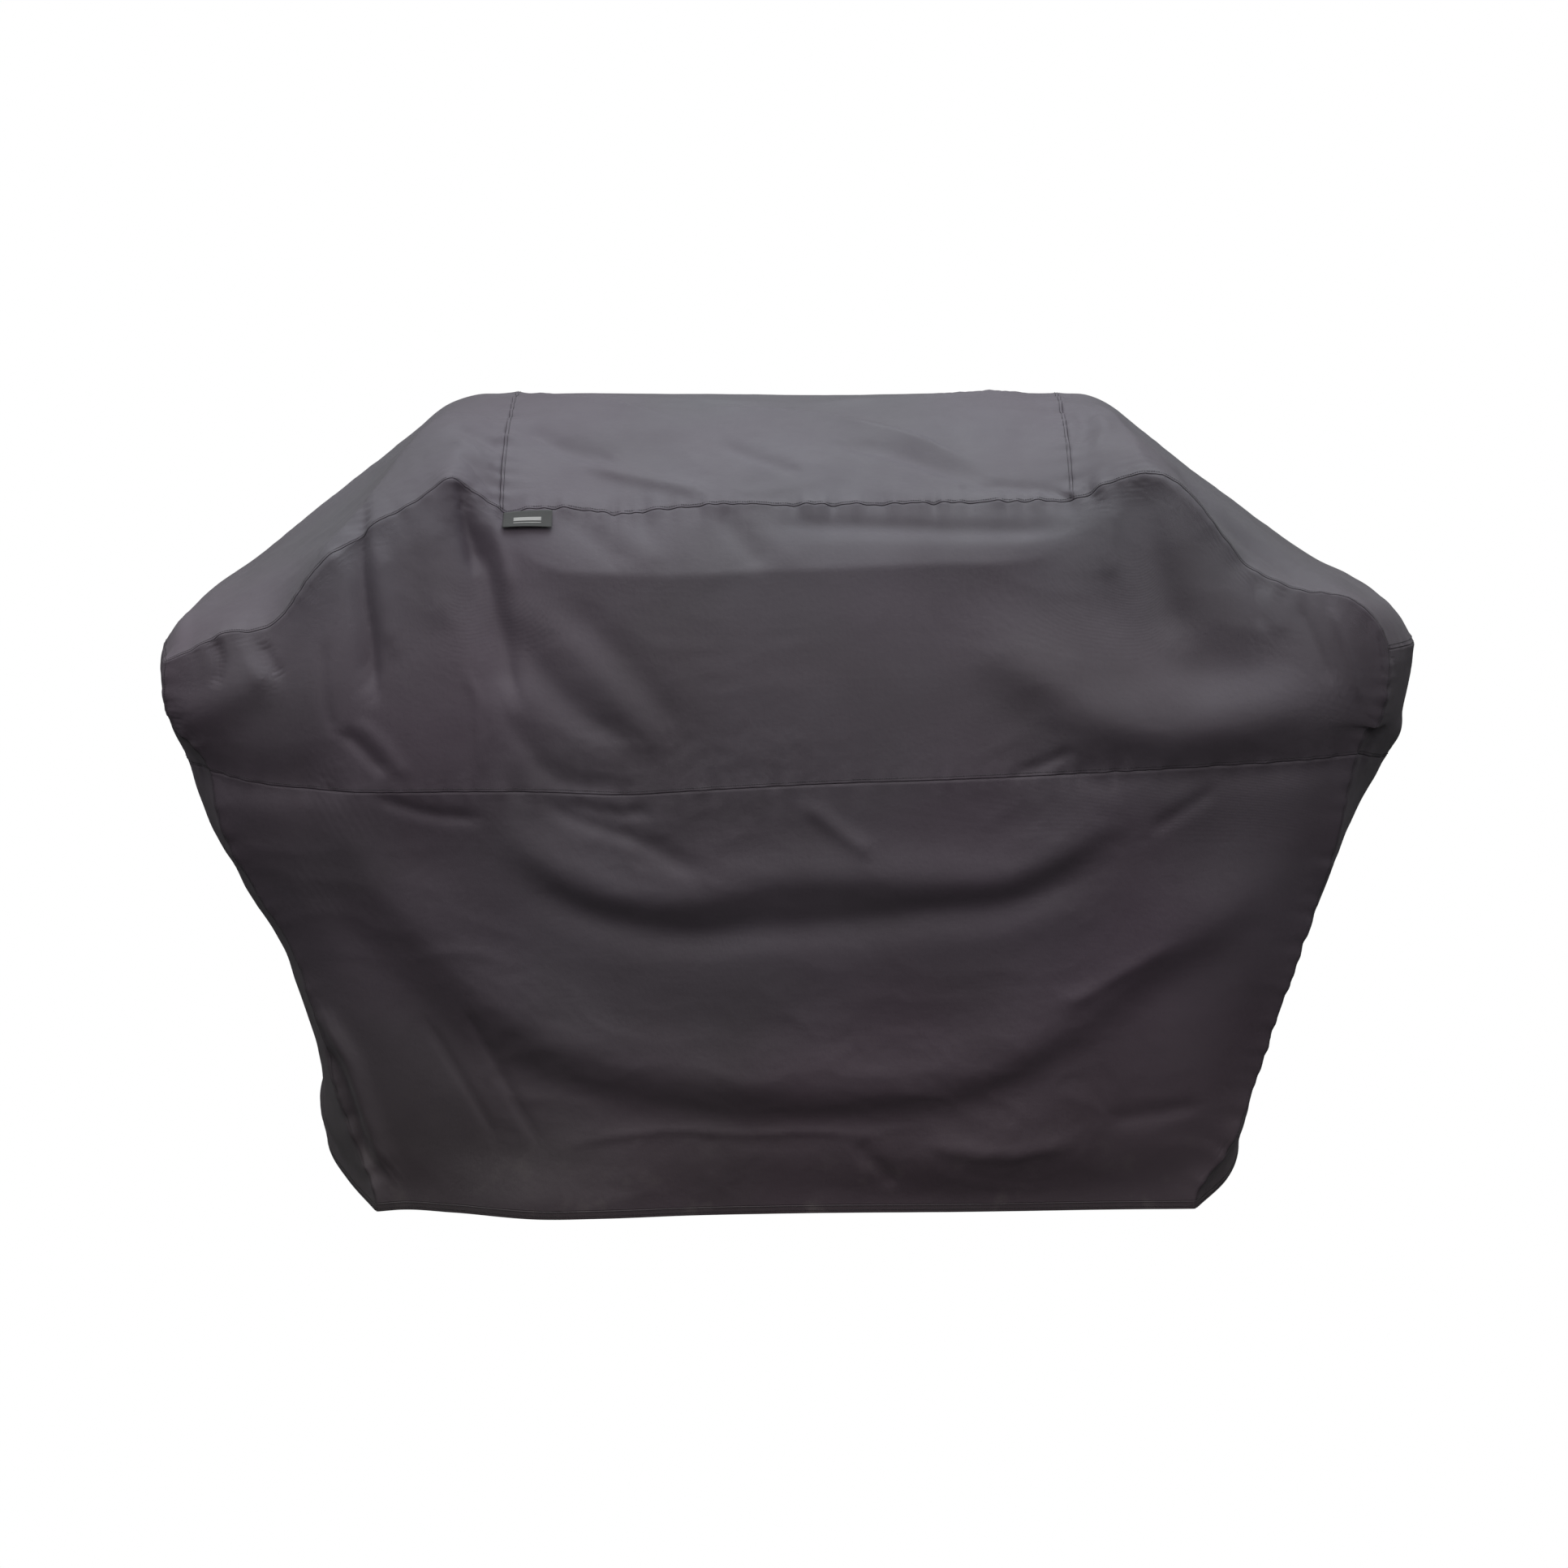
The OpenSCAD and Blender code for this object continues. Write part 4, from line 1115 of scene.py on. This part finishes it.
def label_surface(tree):
    """A grid over the label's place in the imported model, laid on the front just below the top seam."""
    low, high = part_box("label")
    down = np.array([0, low.y - high.y, low.z - high.z])
    length = np.linalg.norm(down)
    down /= length
    out = np.array([0, down[2], -down[1]])
    us, vs = [g.ravel() for g in np.meshgrid(*[np.linspace(0, 1, n) for n in LABEL_GRID], indexing="ij")]
    flat = np.array([low.x, high.y, high.z]) + us[:, None] * np.array([high.x - low.x, 0, 0])
    flat = flat + ((vs * (1 + LABEL_TUCK) - LABEL_TUCK) * length)[:, None] * down
    hits = [tree.ray_cast(Vector(p + out * LABEL_SEEK), Vector(-out)) for p in flat]
    lift = np.array([LABEL_SEEK - h[3] if h[0] else 0 for h in hits])
    terms = np.column_stack([np.ones_like(us), us, vs, us * us, us * vs, vs * vs])
    fit = terms @ np.linalg.lstsq(terms, lift, rcond=None)[0]
    fit += (lift - fit).max() + LABEL_GAP + LABEL_FLARE * vs * vs
    top = Vector((low.x, high.y, high.z))
    return flat + fit[:, None] * out, out, (top, top + Vector(down) * LABEL_BEND)


def slab_on(surface, out, box, rise, thickness):
    """A thin closed slab over part of the label's surface, given as a box in its u and v."""
    u0, u1, v0, v1 = box
    columns, rows = LABEL_GRID
    grid = surface.reshape(columns, rows, 3)
    cs = np.linspace(u0, u1, columns) * (columns - 1)
    rs = np.linspace(v0, v1, rows) * (rows - 1)

    def at(c, r):
        i, j = min(int(c), columns - 2), min(int(r), rows - 2)
        s, t = c - i, r - j
        return ((grid[i, j] * (1 - s) + grid[i + 1, j] * s) * (1 - t)
                + (grid[i, j + 1] * (1 - s) + grid[i + 1, j + 1] * s) * t)

    top = np.array([at(c, r) for c in cs for r in rs]) + out * (rise + thickness)
    return np.concatenate([top, top - out * thickness]), slab_faces(columns, rows)


def close_normals(obj):
    bm = bmesh.new()
    bm.from_mesh(obj.data)
    bmesh.ops.recalc_face_normals(bm, faces=bm.faces)
    bm.to_mesh(obj.data)
    bm.free()


def build_label(tree, cloth, pale):
    """A dark woven label with a plain pale bar and rule. It carries no words or mark."""
    surface, out, bend = label_surface(tree)
    layout = [("label_cloth", (0, 1, 0, 1), 0, LABEL_T, cloth),
              ("label_bar", BAR_BOX, LABEL_T, BAR_T, pale),
              ("label_rule", RULE_BOX, LABEL_T, RULE_T, pale)]
    for name, box, rise, thickness, material in layout:
        points, faces = slab_on(surface, out, box, rise, thickness)
        obj = new_object(name, points, faces, material, None)
        close_normals(obj)
        add_box_uv(obj)
        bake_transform(obj, "cover", "label", start=tuple(bend[0]), end=tuple(bend[1]))
    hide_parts("label")


def add_box_uv(obj):
    """Texture coordinates in metres, looked at along each face's main direction."""
    layer = obj.data.uv_layers.new(name="UVMap")
    for face in obj.data.polygons:
        main = max(range(3), key=lambda i: abs(face.normal[i]))
        u, v = [i for i in range(3) if i != main]
        for loop in face.loop_indices:
            co = obj.data.vertices[obj.data.loops[loop].vertex_index].co
            layer.data[loop].uv = (co[u], co[v])


# Strap frame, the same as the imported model's: x to the rear, y up the side, z out of it. In millimetres.
WEB_W, WEB_T = 38.0, 1.3
STRAP_LIFT = 0.4
WRAP_R = 3.1                             # inside of the webbing round a bar of the ring
BAR_Z = STRAP_LIFT + WEB_T + WRAP_R
BAR_R = 2.0
RING_X, RING_GAP, RING_W = 75.0, 15.0, 45.0
STRAP_L, TAIL_L, TAB_L, EASE = 170.0, 120.0, 58.0, 26.0
TAIL_GAP = 0.6
SEWN_MARGIN, SEWN_L = 4.0, 30.0          # the box of stitches: from the webbing's edges, and its length
PATCH_T, PATCH_MARGIN = 1.0, 1.5
LOOP_Z = STRAP_LIFT + WEB_T
HOOK_Z = LOOP_Z + PATCH_T + .2
RIB_STEP, RIB_H, RIB_SLANT = 2.6, 0.16, 7.6   # chevron ribs across the webbing
WEB_STEP, WEB_COLUMNS = .65, 27          # mesh of the webbing
WEB_EDGE, WEB_THIN = 14, .35             # how square its edges are, and their thickness there as a share
TAPE_NAP, TAPE_ROUND, TAPE_EDGE = .12, .35, 1.2   # roughness of a tape's face, and its rounded rim
TAIL_BEND = 9.0                          # length behind the ring over which the tail bends when peeled
RING_CORNER = 3.6
RING_SIDES, CORNER_STEPS = 20, 9         # mesh of the ring: round its bar, and along each corner
TAPE_GRID = (60, 26)                     # mesh lines along a tape and across it
NAP_WAVES = .9                           # waves per millimetre of a tape's face
TURN_STEPS, EASE_STEPS = 14, 16          # points along a half turn of the webbing, and along its slope
MERGE_MM = 1e-6                          # points of a path that are closer than this are one
SEWN_STEPS = 12                          # points along each side of a box of stitches
SEWN_OFF = 3.0                           # from the end of the tab's slope to its box of stitches
MM_PER_M = 1000


def strap_place(points, side):
    """From the strap frame to the row frame."""
    lean = math.atan(STRAP_PLANE_SLOPE)
    x, y, z = (np.asarray(points, float) / MM_PER_M).T
    across = STRAP_PLANE_X + y * math.sin(lean) + z * math.cos(lean)
    up = STRAP_PLANE_Z + y * math.cos(lean) - z * math.sin(lean)
    return np.column_stack([side * across, x, up])


def arc(cx, cz, radius, start, end, steps=TURN_STEPS):
    return [(cx + radius * math.cos(a), cz + radius * math.sin(a)) for a in np.linspace(start, end, steps)]


def ease_down(x0, z0, x1, z1):
    t = np.linspace(0, 1, EASE_STEPS)
    return list(zip(x0 + (x1 - x0) * t, z0 + (z1 - z0) * t * t * (3 - 2 * t)))


def resample(path, step):
    """Even points along a path without its doubled points, and how far along it they lie."""
    path = np.array(path, float)
    path = path[np.diff(path_lengths(path), prepend=-1) > MERGE_MM]
    knots = path_lengths(path)
    at = np.linspace(0, knots[-1], max(3, round(knots[-1] / step) + 1))
    return np.column_stack([np.interp(at, knots, path[:, i]) for i in (0, 1)]), at


def webbing(name, path, side, material, body, node, rib_side=1):
    """Ribbed webbing along a path in the strap frame's x and z."""
    line, along = resample(path, WEB_STEP)
    tangent = unit(np.gradient(line, axis=0))
    normal = np.column_stack([-tangent[:, 1], tangent[:, 0]]) * rib_side
    ys = np.linspace(-WEB_W / 2, WEB_W / 2, WEB_COLUMNS)
    edge = np.sqrt(np.clip(1 - (abs(ys) / (WEB_W / 2)) ** WEB_EDGE, 0, 1))
    rings = []
    for (x, z), (nx, nz), s in zip(line, normal, along):
        rib = RIB_H * np.sin(2 * math.pi * (s / RIB_STEP + abs(ys) / RIB_SLANT)) * edge
        half = WEB_T / 2 * (WEB_THIN + (1 - WEB_THIN) * edge)
        outer = [(x + nx * (h + r - RIB_H), y, z + nz * (h + r - RIB_H)) for y, h, r in zip(ys, half, rib)]
        inner = [(x - nx * h, y, z - nz * h) for y, h in zip(ys[::-3], half[::-3])]
        rings.append(outer + inner)
    points = strap_place(np.array(rings).reshape(-1, 3), side)
    obj = new_object(name, points, tube_faces(len(rings), len(rings[0])), material, body)
    close_normals(obj)
    add_box_uv(obj)
    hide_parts(node)
    return obj


def tape_slab(name, x0, x1, z0, side, material, body, node):
    """Hook or loop tape: a thin slab with rounded edges and a napped face."""
    half = WEB_W / 2 - PATCH_MARGIN
    xs, ys = np.linspace(x0, x1, TAPE_GRID[0]), np.linspace(-half, half, TAPE_GRID[1])
    top = []
    for x in xs:
        for y in ys:
            rim = min(x - x0, x1 - x, half - abs(y)) / TAPE_EDGE
            drop = TAPE_ROUND * (1 - np.clip(rim, 0, 1)) ** 2
            drop += TAPE_NAP * (1 + noise.noise(Vector((x * NAP_WAVES, y * NAP_WAVES, z0 + PATCH_T))))
            top.append((x, y, z0 + PATCH_T - drop))
    foot = [(x, y, z0) for x, y, _ in top]
    faces = slab_faces(len(xs), len(ys))
    obj = new_object(name, strap_place(top + foot, side), faces, material, body)
    close_normals(obj)
    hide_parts(node)


def ring(name, side, material, body, node):
    """The plastic loop: a round bar bent to a rectangle with rounded corners."""
    hx, hy = RING_GAP / 2, RING_W / 2
    path = []
    for cx, cy, turn in ((1, 1, 0), (-1, 1, 1), (-1, -1, 2), (1, -1, 3)):
        start = turn * math.pi / 2
        path += arc(RING_X + hx + cx * (hx - RING_CORNER), cy * (hy - RING_CORNER), RING_CORNER,
                    start, start + math.pi / 2, CORNER_STEPS)
    path = np.array(path)
    along = unit(np.roll(path, -1, axis=0) - np.roll(path, 1, axis=0))
    out = np.column_stack([along[:, 1], -along[:, 0]])
    turns = np.linspace(0, 2 * math.pi, RING_SIDES, endpoint=False)
    points = [(*(p + o * BAR_R * math.cos(a)), BAR_Z + BAR_R * math.sin(a))
              for p, o in zip(path, out) for a in turns]
    faces = tube_faces(len(path), RING_SIDES, closed=True)
    obj = new_object(name, strap_place(points, side), faces, material, body)
    close_normals(obj)
    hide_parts(node)


def sewn_box(x0, x1, top_z, side):
    """Rows for a box of stitches with a cross in it."""
    half = WEB_W / 2 - SEWN_MARGIN
    corners = [(x0, -half), (x1, -half), (x1, half), (x0, half), (x0, -half)]
    out = strap_place([(0, 0, 1)], side) - strap_place([(0, 0, 0)], side)
    rows = []
    for a, b in list(zip(corners[:-1], corners[1:])) + [(corners[0], corners[2]), (corners[1], corners[3])]:
        flat = strap_place([(x, y, top_z) for x, y in np.linspace(a, b, SEWN_STEPS)], side)
        rows.append((flat, np.repeat(unit(out), len(flat), axis=0)))
    return rows


def build_straps(web, hook, loop, plastic, thread):
    """Both cinch straps, from the ribbon sewn to the side to the tail that closes on it."""
    middle = WEB_T / 2
    strap_z = STRAP_LIFT + middle
    turn_r = WRAP_R + middle
    top_z = BAR_Z + turn_r
    tail_z = HOOK_Z + PATCH_T + middle
    tab_x = RING_X + RING_GAP
    tail_x = RING_X - TAIL_GAP - EASE
    stitches = []
    for label, side in (("left", -1), ("right", 1)):
        path = [(RING_X - STRAP_L, strap_z), (RING_X, strap_z)]
        path += arc(RING_X, BAR_Z, turn_r, -math.pi / 2, math.pi / 2)
        webbing(label + "_strap_web", path, side, web, "cover", label + "_strap", -1)
        path = [(RING_X, top_z)] + ease_down(RING_X - TAIL_GAP, top_z, tail_x, tail_z)
        path += [(RING_X - TAIL_GAP - TAIL_L, tail_z)]
        tail = webbing(label + "_tail_web", path, side, web, None, label + "_strap_tail", -1)
        start, end = strap_place([(RING_X, 0, top_z), (RING_X - TAIL_BEND, 0, top_z)], side)
        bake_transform(tail, "cover", label + "_tail", start=tuple(start), end=tuple(end))
        path = [(tab_x + TAB_L, strap_z), (tab_x, strap_z)]
        path += arc(tab_x, BAR_Z, turn_r, -math.pi / 2, -3 * math.pi / 2)
        path += ease_down(tab_x, top_z, tab_x + EASE, LOOP_Z + middle) + [(tab_x + TAB_L, LOOP_Z + middle)]
        webbing(label + "_tab_web", path, side, web, "cover", label + "_ring_tab", 1)
        rear_end = tail_x - PATCH_MARGIN
        front_end = rear_end - (TAIL_L - EASE - 4 * PATCH_MARGIN)
        tape_slab(label + "_hook_tape", front_end, rear_end, HOOK_Z, side, hook, label + "_tail",
                  label + "_hook_patch")
        tape_slab(label + "_loop_tape", front_end, rear_end, LOOP_Z, side, loop, "cover",
                  label + "_loop_patch")
        ring(label + "_ring_loop", side, plastic, label + "_ring", label + "_ring")
        sewn_x = RING_X - STRAP_L + SEWN_MARGIN
        stitches += sewn_box(sewn_x, sewn_x + SEWN_L, STRAP_LIFT + WEB_T, side)
        stitches += sewn_box(tab_x + EASE + SEWN_OFF, tab_x + TAB_L - SEWN_MARGIN, LOOP_Z + WEB_T, side)
    build_stitches("strap_stitches", stitches, thread)


fabric = polyester("charcoal_polyester", (.070, .062, .070), (.088, .080, .091), .26)
hem_fabric = polyester("hem_polyester", (.062, .056, .060), (.077, .071, .078), .30)
thread = plain_cloth("sewing_thread", (.035, .033, .036), 2500, .7)
label_cloth = plain_cloth("woven_label", (.042, .043, .042), 1500, .6)
label_pale = plain_cloth("pale_yarn", (.34, .34, .33), 1500, .7)
web = webbing_material("black_webbing", (.022, .021, .023))
hook_tape = tape_material("hook_tape", (.014, .014, .015), 1100)
loop_tape = tape_material("loop_tape", (.020, .020, .021), 700)
plastic = plastic_material("black_plastic", (.012, .012, .013))

sheet = build_fabric(fabric, hem_fabric)
tree = BVHTree.FromPolygons([Vector(p) for p in sheet.points], sheet.quads.tolist())
build_stitches("seam_stitches", seam_rows(sheet, tree), thread)
build_label(tree, label_cloth, label_pale)
build_straps(web, hook_tape, loop_tape, plastic, thread)


# ---- Stage, light and camera ---------------------------------------------------------------------

LIGHT_AXIS = (-.05, -.12, .99)           # towards the brightest part of the overhead glow
LIGHT_FOCUS = 1.8                        # how fast the glow fades away from that part
LIGHT_ABOVE = 1.6                        # strength of the glow at its brightest
LIGHT_AROUND = .10                       # and of the light from all around
LIGHT_COLOR = (.98, .99, 1, 1)
WHITE = (1, 1, 1, 1)
HORIZON = (-.06, .02)                    # the light comes in between these heights of its direction
FLOOR_BOUNCE = .02                       # share of the light that the floor throws back
FLOOR_HALF = 30
# Place, size, watts and colour of each lamp
LAMPS = {"overhead": ((.2, .3, 3.6), 2.6, 44, (.90, 1.0, 1.02)),
         "front": ((0, -2.4, 2.6), 2.0, 14, (1.08, .94, .98))}
LAMP_TARGET = Vector((0, 0, .7))


CAMERA_PLACE = (0, -5.31, 1.86)
CAMERA_PITCH = 90 - 14.06                # upright, less its dip below the horizon, in degrees
CAMERA_LENS = 78.65
CAMERA_SHIFT = (-.0016, .0309)


def make_camera():
    data = bpy.data.cameras.new("camera")
    data.lens = CAMERA_LENS
    data.shift_x, data.shift_y = CAMERA_SHIFT
    camera = add_object("camera", data)
    camera.location = CAMERA_PLACE
    camera.rotation_euler = (math.radians(CAMERA_PITCH), 0, 0)
    bpy.context.scene.camera = camera


def make_floor():
    """A plain white floor to the camera, which throws little light back up at the cover."""
    corners = [(x * FLOOR_HALF, y * FLOOR_HALF, 0) for x, y in ((-1, -1), (1, -1), (1, 1), (-1, 1))]
    mesh = new_mesh("floor", corners, [(0, 1, 2, 3)])
    floor = add_object("floor", mesh)
    material = bpy.data.materials.new("floor")
    material.use_nodes = True
    tree = material.node_tree
    tree.nodes.clear()
    matt = add_node(tree, "BsdfDiffuse", [(FLOOR_BOUNCE, FLOOR_BOUNCE, FLOOR_BOUNCE, 1)]).outputs[0]
    white = add_node(tree, "Emission", [WHITE, 1.0]).outputs[0]
    seen = add_node(tree, "LightPath").outputs["Is Camera Ray"]
    mixed = add_node(tree, "MixShader", [seen, matt, white]).outputs[0]
    add_node(tree, "OutputMaterial", [mixed])
    mesh.materials.append(material)


def make_world():
    """A soft overhead light that fades towards the horizon, behind a plain white backdrop."""
    world = bpy.data.worlds.new("studio")
    bpy.context.scene.world = world
    world.use_nodes = True
    tree = world.node_tree
    tree.nodes.clear()
    direction = add_node(tree, "TexCoord").outputs["Generated"]
    lean = add_node(tree, "VectorMath", [direction, LIGHT_AXIS], operation="DOT_PRODUCT").outputs["Value"]
    focus = math_node(tree, "POWER", math_node(tree, "MAXIMUM", lean, 0.0), LIGHT_FOCUS)
    glow = math_node(tree, "MULTIPLY_ADD", focus, LIGHT_ABOVE, LIGHT_AROUND)
    height = add_node(tree, "SeparateXYZ", [direction]).outputs["Z"]
    horizon = ramp_value(tree, height, *HORIZON)
    strength = math_node(tree, "MULTIPLY", glow, horizon)
    light = add_node(tree, "Background", [LIGHT_COLOR, strength]).outputs[0]
    backdrop = add_node(tree, "Background", [WHITE, 1.0]).outputs[0]
    seen = add_node(tree, "LightPath").outputs["Is Camera Ray"]
    mixed = add_node(tree, "MixShader", [seen, light, backdrop]).outputs[0]
    add_node(tree, "OutputWorld", [mixed])


def make_lamps():
    """Two soft boxes, one over the cover and a weak one over the camera's side."""
    for name, (place, size, watts, color) in LAMPS.items():
        data = bpy.data.lights.new(name, "AREA")
        data.size = size
        data.energy = watts
        data.color = color
        lamp = add_object(name, data)
        lamp.location = place
        lamp.rotation_euler = (LAMP_TARGET - lamp.location).to_track_quat("-Z", "Y").to_euler()


make_camera()
make_floor()
make_world()
make_lamps()
bpy.context.scene.view_settings.view_transform = "Standard"
